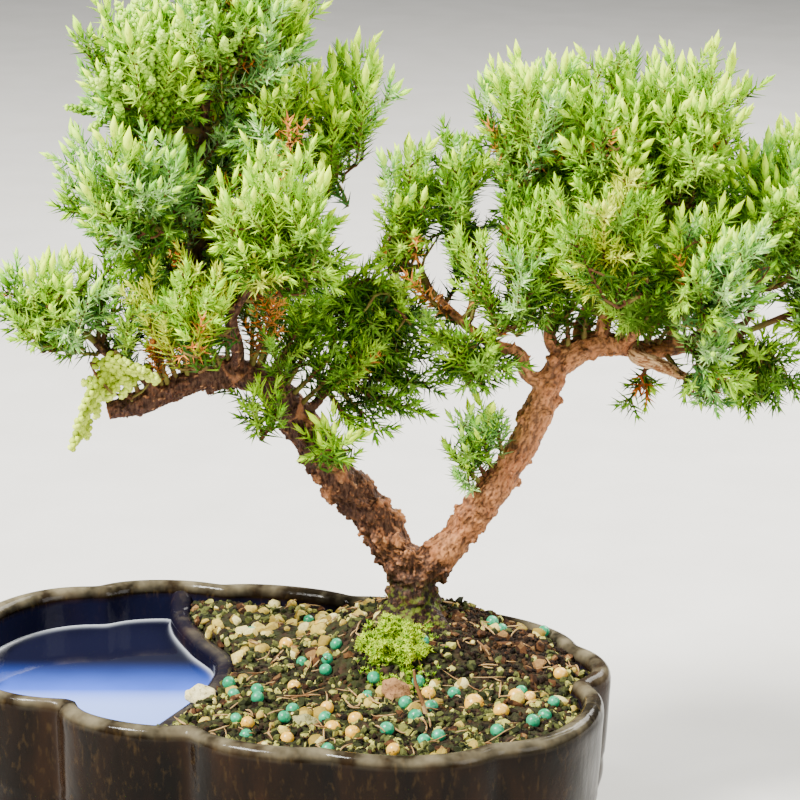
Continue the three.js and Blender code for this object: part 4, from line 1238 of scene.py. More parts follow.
def water_finish(settings):
    """Still water with a painted reflection: the sky painted bright in front and the dark glaze under it
    painted at the back, with a painted highlight along its edge.
    """
    finish = Finish("water", roughness=0.04, Specular_IOR_Level=0.3)
    bright = finish.attribute("bright")
    # Painted reflection: dark glaze colour at the back turning to sky blue in front, paler blue where the
    # painted sky reflection is strongest
    soft = finish.times(bright, finish.ramp(finish.mottle(30, 0.25, 0.6), 0, 1, 0.75, 1))
    body = finish.mix(soft, srgb(16, 17, 34), settings.water)
    body = finish.mix(finish.ramp(bright, 0.72, 1.0), body, srgb(138, 164, 242))
    # Painted highlight along the water's edge
    finish.colour(finish.mix(finish.attribute("edge"), body, srgb(190, 196, 206)))
    finish.bump(finish.mottle(14, 0.2, 0.8, 1.0), 0.12, 0.4)
    return finish.material


def closed_disc(centre, x, y, height, middle, bottom):
    """Rings of points round a centre, with an edge down to a flat underside, and their faces."""
    top = np.stack([x, y, height], -1).reshape(-1, 3)
    skirt = np.column_stack([x[-1], y[-1], np.full(x.shape[1], float(bottom))])
    points = np.concatenate([top, skirt, [[*centre, middle], [*centre, bottom]]])
    return points, drum_faces(len(x) + 1, x.shape[1], turned=True)


class JUNIPER_OT_water(bpy.types.Operator):
    """The water in the basin, with its edge drawn up the glaze."""

    bl_idname = "juniper.water"
    bl_label = "Water"

    def execute(self, context):
        settings = context.scene.juniper_pot
        level = settings.water_level / MM
        angles = np.arange(WATER_SPOKES) * math.tau / WATER_SPOKES
        reach = inner_reach(BASIN_CENTRE, angles, level, -1, EDGE_GAP)
        shares = np.concatenate([np.linspace(0.04, 0.9, 22), np.linspace(0.92, 1, 8)])[:, None]
        rim = reach * (1 - shares)
        x = BASIN_CENTRE[0] + reach * shares * np.cos(angles)
        y = BASIN_CENTRE[1] + reach * shares * np.sin(angles)
        height = level + MENISCUS * np.exp(-rim / MENISCUS)
        points, faces = closed_disc(BASIN_CENTRE, x, y, height, level, level - WATER_DEPTH)
        mesh = new_mesh("basin_water", points, faces, {
            # Painted sky reflection, strongest towards the front of the basin
            "bright": smoothstep(points[:, 1] * 0.93 - points[:, 0] * 0.34, 34, -6),
            # Where the painted highlight along the water's edge lies
            "edge": np.concatenate([np.exp(-rim / 0.5).ravel(), np.zeros(len(angles) + 2)]),
        })
        add_piece(mesh, "water", "water", material=water_finish(settings))
        return {"FINISHED"}


# Soil
def bumps(x, y):
    """The soil's own rises and hollows."""
    broad = 0.9 * np.sin(x * 0.23 + 1.1) * np.cos(y * 0.29)
    return broad + 0.5 * np.sin(x * 0.61 - y * 0.47)


def soil_height(x, y):
    """The height of the soil over a place."""
    away = np.hypot(x - TREE_PLACE[0], y - TREE_PLACE[1])
    mound = smoothstep(MOUND_FOOT - away, 0, MOUND_FOOT - MOUND_FLAT)
    from_heap = np.hypot(x - HEAP_PLACE[0], y - HEAP_PLACE[1])
    heap = HEAP_HEIGHT * np.exp(-((from_heap / HEAP_REACH) ** 2))
    level = SOIL_EDGE + (bumps(x, y) + heap) * (1 - mound)
    return lerp(level, SOIL_AT_TRUNK, mound)


def cloud(points, size, octaves=3):
    """A soft noise at points in millimetres, about -1 to 1."""
    return np.array([noise.fractal(Vector(p) / size, 1.0, 2.0, octaves) for p in points])


def ball_mesh(name, rounds, radius, change=None):
    """A ball of triangles, with its points moved by a function."""
    made = bmesh.new()
    bmesh.ops.create_icosphere(made, subdivisions=rounds, radius=radius)
    for vertex in made.verts if change else ():
        vertex.co = change(vertex.co)
    mesh = bpy.data.meshes.new(name)
    made.to_mesh(mesh)
    made.free()
    mesh.polygons.foreach_set("use_smooth", np.full(len(mesh.polygons), rounds > 1))
    return mesh


def lump_mesh(name, seed, rounds=1, roughness=0.28):
    """An uneven pebble of size one, from a rounded icosahedron."""
    rng = np.random.default_rng(seed)
    shift = Vector(rng.uniform(0, 50, 3))
    squash = rng.uniform(0.7, 1.15, 3)

    def uneven(point):
        place = point * MM
        return Vector(np.array(place) * squash * (1 + roughness * noise.noise(place * 1.6 + shift) * 2))

    return ball_mesh(name, rounds, 1 / MM, uneven)


def template_collection(name, meshes):
    """A collection of templates that only the scatter reads."""
    made = bpy.data.collections.new(name)
    for mesh in meshes:
        made.objects.link(bpy.data.objects.new(mesh.name, mesh))
    return made


def drop_collection(made):
    """Removes a collection of templates."""
    for template in list(made.objects):
        drop(template)
    bpy.data.collections.remove(made)


def soil_finish(settings):
    """Damp dark humus with a green bloom."""
    finish = Finish("soil_humus", roughness=0.88)
    grain, chance = finish.grains(1.5, 0.6)
    dark = finish.mix(chance, settings.humus, srgb(60, 43, 31))
    green = finish.mix(finish.mottle(1.2), settings.algae, srgb(44, 47, 28))
    bloom = finish.times(finish.attribute("bloom"), finish.mottle(4, 0.35, 0.6))
    finish.colour(finish.mix(bloom, dark, green))
    finish.bump(grain, 0.8, 0.8)
    return finish.material


def crumb_finish(name, colours, size=2.4, roughness=0.85):
    """Crumbs whose colours change from one to the next, the last one in patches."""
    finish = Finish(name, roughness=roughness)
    chance = finish.grains(size, 0.6)[1]
    first, second, third, last = [srgb(*colour) for colour in colours]
    body = finish.mix(finish.ramp(chance, 0.2, 0.5), first, second)
    body = finish.mix(finish.ramp(chance, 0.72, 0.86), body, third)
    finish.colour(finish.mix(finish.times(finish.mottle(0.7, 0.35, 0.7), 0.35), body, last))
    finish.bump(finish.mottle(0.6, 0.2, 0.8), 0.25, 0.6)
    return finish.material


def bead_finish(name, colour, pale_patches):
    """A coated fertiliser bead, with pale scuffs."""
    finish = Finish(name, roughness=0.34, Specular_IOR_Level=0.4, Coat_Weight=0.2, Coat_Roughness=0.2)
    body = finish.mix(finish.mottle(2.2, 0.42, 0.7), colour, pale_patches)
    finish.colour(finish.mix(finish.mottle(0.8, 0.6, 0.72), body, srgb(66, 60, 42)))
    finish.bump(finish.mottle(0.8, 0.3, 0.7), 0.08, 0.5)
    return finish.material


# Beads by colour: place and radius
TEAL_BEADS = [
    (-8, -15.5, 2), (-3, -23.5, 1.9), (2, -17.5, 2), (5, -24.5, 2), (5, -40.5, 1.8), (18, -35.5, 1.9),
    (17, -26.5, 2), (28, -28.5, 2), (15, 6.5, 1.9), (16, 11.5, 1.9), (6, 8.5, 1.8), (16, 2.5, 2),
    (34, -9.5, 2), (33, -1.5, 2), (49, -33.5, 2.1), (43, 14.5, 1.9), (46, 1.5, 2), (58, -0.5, 2),
    (47, -12.5, 2.1), (76, 8.5, 2), (88, 2.5, 1.9), (54, -9.5, 2), (53, -20.5, 2.1), (86, -11.5, 2.1),
    (88, -6.5, 2), (64, -31.5, 2), (61, -35.5, 2), (79, -23.5, 2), (56, 41.5, 1.9), (60, 38.5, 1.9),
    (-20, 30, 1.8), (-6, 44, 1.8), (24, 58, 1.8), (70, 50, 1.8), (12, -50, 1.9), (38, -52, 1.9),
]
CREAM_BEADS = [
    (66, -5.5, 3), (75, -7.5, 2.3), (11, -10.5, 2), (37, -27.5, 2.2), (27, -24.5, 2.1), (40, -37.5, 2.2),
    (9, -41.5, 2), (51, -3.5, 2.1), (33, -35.5, 2.4), (76, 3.5, 2.4), (80, 4.5, 1.9), (-4, 20, 2.2),
    (2, 33, 2), (30, 57, 2), (84, 22, 2.1), (56, -47, 2.2), (24, -48, 2),
]


class JUNIPER_OT_ground(bpy.types.Operator):
    """The soil's surface, from wall to divider."""

    bl_idname = "juniper.ground"
    bl_label = "Soil"

    def execute(self, context):
        settings = context.scene.juniper_soil
        angles = np.arange(SOIL_SPOKES) * math.tau / SOIL_SPOKES
        reach = inner_reach(SOIL_CENTRE, angles, SOIL_EDGE - 2, 1, EDGE_GAP)
        shares = (np.linspace(0.012, 1, SOIL_RINGS) ** 0.9)[:, None]
        x = SOIL_CENTRE[0] + reach * shares * np.cos(angles)
        y = SOIL_CENTRE[1] + reach * shares * np.sin(angles)
        flat = np.stack([x, y, 0 * x], -1).reshape(-1, 3)
        height = soil_height(x, y) + (0.9 * cloud(flat, 6) + 0.55 * cloud(flat, 2.2)).reshape(x.shape)
        height = height - 1.1 * smoothstep(shares, 0.93, 1)
        middle = float(soil_height(*SOIL_CENTRE))
        points, faces = closed_disc(SOIL_CENTRE, x, y, height, middle, SOIL_UNDERSIDE)
        mesh = new_mesh("soil_ground", points, faces, self.masks(points, x.size))
        add_piece(mesh, "soil", "soil", material=soil_finish(settings))
        return {"FINISHED"}

    def masks(self, points, top_count):
        """Where the green bloom, the crumbs, the clumps, the chips and the gravel lie."""
        x, y = points[:, 0], points[:, 1]
        is_top = (np.arange(len(points)) < top_count).astype(float)
        heap = np.exp(-(((x - 66) / 24) ** 2 + ((y - 36) / 22) ** 2))
        trunk = np.exp(-(np.hypot(x - TREE_PLACE[0], y - TREE_PLACE[1]) / 15) ** 2)
        gravel = np.exp(-(((x + 8) / 26) ** 2 + ((y - 34) / 20) ** 2))
        patches = 0.5 + 0.5 * cloud(np.column_stack([x, y, 0 * x]), 13, 2)
        bloom = np.clip(1.15 - heap - 0.8 * trunk, 0, 1)
        masks = {
            "bloom": bloom,
            "crumbs": 0.35 + heap + trunk - 0.6 * gravel,
            "clumps": bloom * patches * 1.2 - 0.5 * gravel,
            "chips": 0.12 + 0.7 * heap + 0.3 * trunk,
            "gravel": 0.1 + 1.1 * gravel + 0.35 * (patches > 0.62),
        }
        return {name: is_top * np.clip(values, 0, 1) for name, values in masks.items()}


class JUNIPER_OT_litter(bpy.types.Operator):
    """Crumbs, clumps, bark chips, gravel and dry needles strewn over the soil."""

    bl_idname = "juniper.litter"
    bl_label = "Litter"

    def execute(self, context):
        settings = context.scene.juniper_soil
        dense = 1e4 * settings.crumbs
        pebbles = template_collection("pebbles", [lump_mesh(f"pebble_{i}", 11 + i) for i in range(4)])
        rounded = template_collection("gravel", [lump_mesh(f"gravel_{i}", 31 + i, 2, 0.16) for i in range(4)])
        humus = crumb_finish("humus_crumbs", [(18, 12, 7), (34, 22, 13), (68, 46, 26), (10, 7, 4)])
        green = crumb_finish("green_clumps", [(36, 40, 20), (82, 86, 42), (184, 178, 90), (20, 22, 12)])
        chips = crumb_finish("bark_chips", [(46, 28, 16), (84, 54, 30), (140, 106, 62), (26, 16, 9)])
        pale = [(146, 120, 44), (196, 170, 76), (230, 216, 140), (88, 90, 34)]
        pale = crumb_finish("pale_gravel", pale, 5.0, 0.6)
        layers = [
            # mask, templates, finish, density, spacing, smallest, largest, flatness, tumble
            ("crumbs", pebbles, humus, dense, 0.9, 0.45, 1.35, 0.8, 3.1),
            ("clumps", pebbles, green, 0.75 * dense, 1.25, 0.5, 2.3, 0.6, 3.1),
            ("chips", pebbles, chips, 0.16 * dense, 2.3, 0.9, 3.4, 0.4, 0.9),
            ("gravel", rounded, pale, 1e4 * settings.gravel, 2.9, 1.0, 3.1, 0.75, 0.8),
        ]
        ground = bpy.data.objects["soil_ground"]
        for index, (name, templates, finish, density, spacing, small, large, flat, tip) in enumerate(layers):
            add_piece(apply_tree(ground, scatter_tree(name, finish), {
                "Templates": templates, "Density": density, "Spacing": spacing * MM, "Smallest": small * MM,
                "Largest": large * MM, "Flatness": flat, "Tumble": tip, "Seed": LITTER_SEED + index,
            }, "soil_" + name), "soil")
        drop_collection(pebbles)
        drop_collection(rounded)
        self.add_straw()
        self.add_beads(settings)
        return {"FINISHED"}

    def add_straw(self):
        """Dry needles and bits of straw, and one upright twig."""
        rng = np.random.default_rng(71)
        lines = []
        for _ in range(STRAWS):
            place = rng.uniform(*STRAW_AREA)
            if not is_inside(place[None, :], SOIL_EDGE, 0.0, 1, 3)[0]:
                continue
            turn = rng.uniform(0, math.tau)
            long = rng.uniform(2, 6.5) * (1 + 1.4 * (rng.random() < 0.12))
            heading = np.array([math.cos(turn), math.sin(turn)])
            along = np.linspace(-0.5, 0.5, 5)[:, None] * long
            bend = rng.uniform(-0.12, 0.12) * long * (np.linspace(-1, 1, 5)[:, None] ** 2)
            flat = place + heading * along + np.array([-heading[1], heading[0]]) * bend
            level = soil_height(flat[:, 0], flat[:, 1]) + 1.1 + rng.uniform(-0.2, 0.8)
            tilt = rng.uniform(-0.25, 0.25) * along[:, 0]
            points = np.column_stack([flat, level + tilt])
            lines.append((points, rng.uniform(0.16, 0.34) * np.array([0.5, 1, 1, 1, 0.4])))
        foot = [*UPRIGHT_TWIG, float(soil_height(*UPRIGHT_TWIG))]
        twig = np.array([(0, 0, -1), (-1.6, 0.6, 4), (-4, 1, 9.5), (-4.8, 2, 13)]) + foot
        lines.append((twig, np.array([0.75, 0.7, 0.6, 0.35])))
        colours = [(150, 118, 74), (186, 152, 100), (120, 84, 50), (90, 62, 38)]
        add_piece(tube_mesh("soil_straw", lines, 5, crumb_finish("straw", colours, 4.0, 0.7)), "soil")

    def add_beads(self, settings):
        """Round fertiliser beads that lie in the soil."""
        template = bpy.data.objects.new("bead", ball_mesh("bead", 3, 1))
        rng = np.random.default_rng(5)
        kinds = [
            ("beads_teal", TEAL_BEADS, bead_finish("teal_bead", settings.teal, srgb(66, 172, 130))),
            ("beads_cream", CREAM_BEADS, bead_finish("cream_bead", settings.cream, srgb(240, 194, 92))),
        ]
        for name, beads, finish in kinds:
            x, y, radius = np.array(beads, float).T
            places = np.column_stack([x, y, soil_height(x, y) + 0.45 * radius])
            add_piece(placed_mesh(name, template, [finish], places, {
                "turn": unit(rng.normal(size=(len(beads), 4))),
                "stretch": radius[:, None] * MM * rng.uniform(0.94, 1.06, (len(beads), 3)),
            }), "soil")
        drop(template)


def stone_finish(name, *colours):
    """A weathered pebble with dark grains."""
    finish = Finish(name, roughness=0.72)
    light, dark, grains = [srgb(*colour) for colour in colours]
    body = finish.mix(finish.mottle(3.2, 0.36, 0.64, 4.0), light, dark)
    finish.colour(finish.mix(finish.mottle(0.9, 0.56, 0.7), body, grains))
    finish.bump(finish.mottle(1.1, 0.2, 0.8, 4.0), 0.5, 0.7)
    return finish.material


class JUNIPER_OT_stones(bpy.types.Operator):
    """The three larger stones on the soil."""

    bl_idname = "juniper.stones"
    bl_label = "Stones"

    def execute(self, context):
        for index, (name, (place, half, sink, *colours)) in enumerate(STONES.items()):
            mesh = lump_mesh(name + "_worn", 40 + index, 4, 0.2)
            points = read_points(mesh)
            points /= np.abs(points).max(0)
            rough = np.array([noise.turbulence(Vector(p) * 3.1, 3, True) for p in points])
            centre = (*place, float(soil_height(*place)) - sink)
            set_points(mesh, points * (0.94 + 0.05 * rough[:, None]) * half + centre)
            add_piece(mesh, "stone", name, material=stone_finish(name, *colours))
        return {"FINISHED"}


class JUNIPER_OT_moss(bpy.types.Operator):
    """A cushion of moss, made of many small leaf stars."""

    bl_idname = "juniper.moss"
    bl_label = "Moss"

    def execute(self, context):
        settings = context.scene.juniper_soil
        rng = np.random.default_rng(8)
        height = 1 - rng.random(MOSS_STARS)
        turn = rng.uniform(0, math.tau, MOSS_STARS)
        flat = np.sqrt(np.clip(1 - height**2, 0, 1))
        outward = np.column_stack([flat * np.cos(turn), flat * np.sin(turn), height])
        lobes = 1 + 0.6 * np.array([noise.noise(Vector(way * 2.3 + 3)) for way in outward])
        shell = rng.uniform(0.72, 1.06, MOSS_STARS) * lobes
        centre = np.array([*MOSS_PLACE, float(soil_height(*MOSS_PLACE)) - MOSS_SINK])
        places = centre + outward * np.array(MOSS_HALF) * 0.92 * shell[:, None]
        heading = unit(outward + rng.normal(0, 0.35, outward.shape) + [0, 0, 0.3])
        size = rng.uniform(0.75, 1.25, MOSS_STARS)
        # Stars deep in the cushion take the darkest colour as painted shade, the outermost the brightest as
        # painted light
        shade = np.clip(((shell / lobes - 0.72) / 0.34 + rng.normal(0, 0.15, MOSS_STARS)) * 3, 0, 2)
        spread = self.outliers(rng)
        places = np.concatenate([places, spread])
        heading = np.concatenate([heading, unit(rng.normal(0, 0.4, spread.shape) + [0, -0.2, 1])])
        size = np.concatenate([size, rng.uniform(0.6, 1.05, len(spread))])
        shade = np.concatenate([shade, rng.integers(0, 3, len(spread))])
        # Moss colours: painted shade, the moss's own colour and painted light; the thin moss over the soil
        # takes them at random
        finishes = []
        for index, colour in enumerate([srgb(66, 98, 4), settings.moss, srgb(212, 234, 28)]):
            finish = Finish(f"moss_{index}", roughness=0.75)
            finish.colour(finish.mix(finish.mottle(1.4, 0.35, 0.65), colour, srgb(106, 142, 24)))
            finishes.append(finish.material)
        template = bpy.data.objects.new("moss_star", self.star())
        add_piece(placed_mesh("moss_cushion", template, finishes, places, {
            "turn": quaternions(heading, rng.normal(size=places.shape)),
            "stretch": np.repeat(size[:, None], 3, 1),
            "shade": shade.astype(int),
        }), "moss", "moss_tuft")
        drop(template)
        self.add_core(centre)
        return {"FINISHED"}

    def outliers(self, rng):
        """Thinner moss from the trunk down over the soil in front of the cushion."""
        along = rng.random(MOSS_OUTLIERS) ** 0.8
        middle = lerp(np.array([TREE_PLACE[0] - 1, TREE_PLACE[1] - 7]), np.array([40, -3]), along[:, None])
        flat = middle + rng.normal(0, 1, (MOSS_OUTLIERS, 2)) * [4.5, 2.5]
        patchy = cloud(np.column_stack([flat, 0 * along]), 4, 2) > -0.1
        flat = flat[patchy]
        level = soil_height(flat[:, 0], flat[:, 1]) + rng.uniform(0.6, 2.2, len(flat))
        return np.column_stack([flat, level])

    def star(self):
        """Five pointed leaves round a short stalk."""
        points = [(0, 0, -0.7), (0, 0, 0.25)]
        faces = []
        gaps = []
        for k in range(5):
            for reach, away, height in ((0.45, -0.52, 0.25), (1.05, 0, 0.85), (0.45, 0.52, 0.25)):
                turn = k * math.tau / 5 + away
                points.append((reach * math.cos(turn), reach * math.sin(turn), height))
            low, tip, high = range(2 + 3 * k, 5 + 3 * k)
            faces += [(1, low, tip), (1, tip, high), (0, tip, low), (0, high, tip)]
            gaps.append((high, 2 + 3 * ((k + 1) % 5)))
        faces += [(1, high, low) for high, low in gaps] + [(0, low, high) for high, low in gaps]
        return new_mesh("moss_star", points, [np.array(faces)], smooth=False)

    def add_core(self, centre):
        """The dark inside of the cushion, which closes the gaps between the stars."""
        mesh = lump_mesh("moss_core", 90, 4, 0.1)
        points = read_points(mesh)
        set_points(mesh, points / np.abs(points).max() * np.array(MOSS_HALF) * 0.84 + centre)
        finish = Finish("moss_core", roughness=0.9)
        finish.colour(finish.mix(finish.mottle(1.5), srgb(60, 84, 18), srgb(96, 124, 28)))
        finish.bump(finish.mottle(0.7, 0.2, 0.8), 0.6, 0.8)
        add_piece(mesh, "moss", "moss_tuft", material=finish.material)


# Bark
def quaternions(heading, side_hint):
    """Rotations that take +Z to each heading, and +X towards each hint."""
    z = unit(heading)
    x = side_hint - z * (side_hint * z).sum(-1, keepdims=True)
    weak = np.linalg.norm(x, axis=-1) < 1e-4
    x[weak] = np.cross(z[weak], [0.31, 0.87, 0.38])
    x = unit(x)
    (x0, x1, x2), (y0, y1, y2), (z0, z1, z2) = x.T, np.cross(z, x).T, z.T
    # Each row is the whole rotation times four times one of its own parts, and the largest is read
    rows = np.array([
        [1 + x0 + y1 + z2, y2 - z1, z0 - x2, x1 - y0],
        [y2 - z1, 1 + x0 - y1 - z2, x1 + y0, z0 + x2],
        [z0 - x2, x1 + y0, 1 - x0 + y1 - z2, y2 + z1],
        [x1 - y0, z0 + x2, y2 + z1, 1 - x0 - y1 + z2],
    ])
    largest = np.argmax([rows[k, k] for k in range(4)], 0)
    return unit(rows[largest, :, np.arange(len(z))])


def frames_along(route, shares):
    """Points, headings and two steady sides along a route."""
    heading = route.heading(shares)
    side = np.cross(heading[0], [0.2, 0.95, 0.1])
    sides = []
    for direction in heading:
        side = unit(side - direction * (side @ direction))
        sides.append(side)
    return route.at(shares), heading, np.array(sides), np.cross(heading, sides)


def grown_route(name):
    """A limb's route drawn back into its carrier, so that the bark runs over the joint."""
    carrier, along, radii, points = LIMBS[name]
    leave = leave_points(ROUTES[carrier], along, points[0])[1]
    return Route([ROUTES[carrier].at(along), leave, *points], radii)


def limb_chain(route, collar, rng, wobble):
    """A limb's centre line and radii, with a collar where it leaves and slight bends."""
    shares = np.linspace(0, 1, max(6, int(route.length / 1.5)))
    points, _, side, other = frames_along(route, shares)
    travelled = shares * route.length
    waves = rng.uniform(0, math.tau, 4)
    radii = route.radius(shares) * (1 + collar * np.exp(-travelled / (route.radii[0] * 1.5)))
    uneven = 0.07 * np.sin(travelled / 4.3 + waves[0]) + 0.05 * np.sin(travelled / 2.1 + waves[1])
    sway = wobble * np.sin(travelled / 5.1 + waves[2])[:, None] * side
    sway = sway + wobble * np.sin(travelled / 6.7 + waves[3])[:, None] * other
    return points + sway * np.clip(travelled / 6, 0, 1)[:, None], radii * (1 + uneven)


# Surface roots: direction in degrees, reach and radius
ROOTS = [(-155, 15, 4.2), (-95, 13, 3.6), (-35, 15, 4), (25, 13, 3.6), (90, 14, 4), (150, 14, 3.8)]


def root_routes():
    """Surface roots that spread from the foot of the trunk."""
    routes = []
    for degrees, reach, radius in ROOTS:
        turn = math.radians(degrees)
        out = np.array([math.cos(turn), math.sin(turn), 0])
        knots = [(2, 6), (7, 2.6), (reach * 0.8, -0.8), (reach, -3)]
        routes.append(Route([out * away + [0, 0, height] for away, height in knots], (radius, radius * 0.35)))
    return routes


def bark_finish(settings):
    """Flaking bark: pale plates, dark cracks that carry painted shade, painted highlights on the ridges and
    knobs, green at the foot, orange where it is cut.
    """
    finish = Finish("bark", roughness=0.55, Specular_IOR_Level=0.16)
    relief = finish.attribute("relief")
    patches = finish.mottle(9, 0.3, 0.7, 4.0)
    fibres = finish.mottle(0.8, 0.35, 0.65, 4.0, (1, 1, 3))
    red = finish.mix(patches, srgb(176, 106, 62), settings.plates)
    dark = finish.mix(patches, srgb(44, 22, 11), srgb(96, 52, 28))
    body = finish.mix(finish.attribute("dark"), red, dark)
    # Cracks: darker bark and painted shade
    body = finish.mix(finish.ramp(relief, 0.55, 0.27, 0.0, 0.95), body, settings.cracks)
    # Painted highlight on the ridges and knob tips
    body = finish.mix(finish.ramp(relief, 0.58, 0.84, 0.0, 0.75), body, srgb(222, 160, 102))
    body = finish.mix(finish.times(fibres, 0.22), body, srgb(186, 136, 104))
    # Darker towards the foot of the trunk, darkest in its cracks
    damp = finish.times(finish.attribute("damp"), finish.mottle(3.5, 0.2, 0.55))
    foot_colour = finish.mix(finish.ramp(relief, 0.3, 0.75), srgb(26, 18, 13), srgb(70, 48, 34))
    body = finish.mix(damp, body, foot_colour)
    moss = finish.times(finish.attribute("moss"), finish.mottle(1.8, 0.5, 0.62))
    body = finish.mix(moss, body, srgb(104, 120, 30))
    finish.colour(finish.mix(finish.attribute("cut"), body, srgb(176, 104, 50)))
    finish.bump(fibres, 0.3, 0.7)
    finish.bump(finish.mottle(0.5, 0.2, 0.8), 0.16, 0.6)
    return finish.material


def remeshed(tubes, voxel, name):
    """One closed skin over a mesh of tubes."""
    source = new_object("tubes", tubes)
    modifier = source.modifiers.new("skin", "REMESH")
    modifier.mode = "VOXEL"
    modifier.voxel_size = voxel
    modifier.use_smooth_shade = True
    mesh = evaluated_mesh(source, name)
    drop(source)
    return mesh


def mesh_arrays(mesh):
    """A mesh's points in millimetres and its vertex normals."""
    normals = np.empty(len(mesh.vertices) * 3, np.float32)
    mesh.vertex_normals.foreach_get("vector", normals)
    return read_points(mesh) / MM, normals.reshape(-1, 3)


class BarkField:
    """How far along and across its limb each point of the bark lies."""

    def __init__(self, routes):
        parts = []
        for index, route in enumerate(routes):
            shares = np.linspace(0, 1, max(8, int(route.length / 0.8)))
            points, _, side, other = frames_along(route, shares)
            along = shares * route.length + 40 * index
            parts.append((to_pot(points), to_pot_direction(side), to_pot_direction(other), along,
                          route.radius(shares), np.full(len(shares), index)))
        self.columns = [np.concatenate(column) for column in zip(*parts)]
        self.tree = kdtree.KDTree(len(self.columns[0]))
        for row, place in enumerate(self.columns[0]):
            self.tree.insert(Vector(place), row)
        self.tree.balance()

    def read(self, points):
        """For each point: its place in its limb's own frame, the limb's radius and its number."""
        rows = np.array([self.tree.find(Vector(point))[1] for point in points])
        place, side, other, along, radius, index = [column[rows] for column in self.columns]
        offset = points - place
        return np.column_stack([(offset * side).sum(1), (offset * other).sum(1), along]), radius, index


# Blender shifts its vector noise by the clock, unless it is given a seed
PLATE_SEED = 7


def plate_relief(local):
    """Bark plates drawn out along the limb, from 0 in the cracks to 1 on top."""
    noise.seed_set(PLATE_SEED)
    relief = np.empty(len(local))
    for row, (x, y, along) in enumerate(local):
        place = Vector((x / 1.9, y / 1.9, along / 3.6))
        place += 0.5 * noise.noise_vector(place * 1.2)
        near, second = noise.voronoi(place)[0][:2]
        crack = min(1.0, (second - near) / 0.3)
        rough = noise.turbulence(Vector((x / 0.9, y / 0.9, along / 1.6)), 3, False)
        relief[row] = 0.52 * crack**0.6 * (0.8 + 0.6 * noise.noise(place * 0.8)) + 0.58 * rough
    return np.clip(relief, 0, 1)


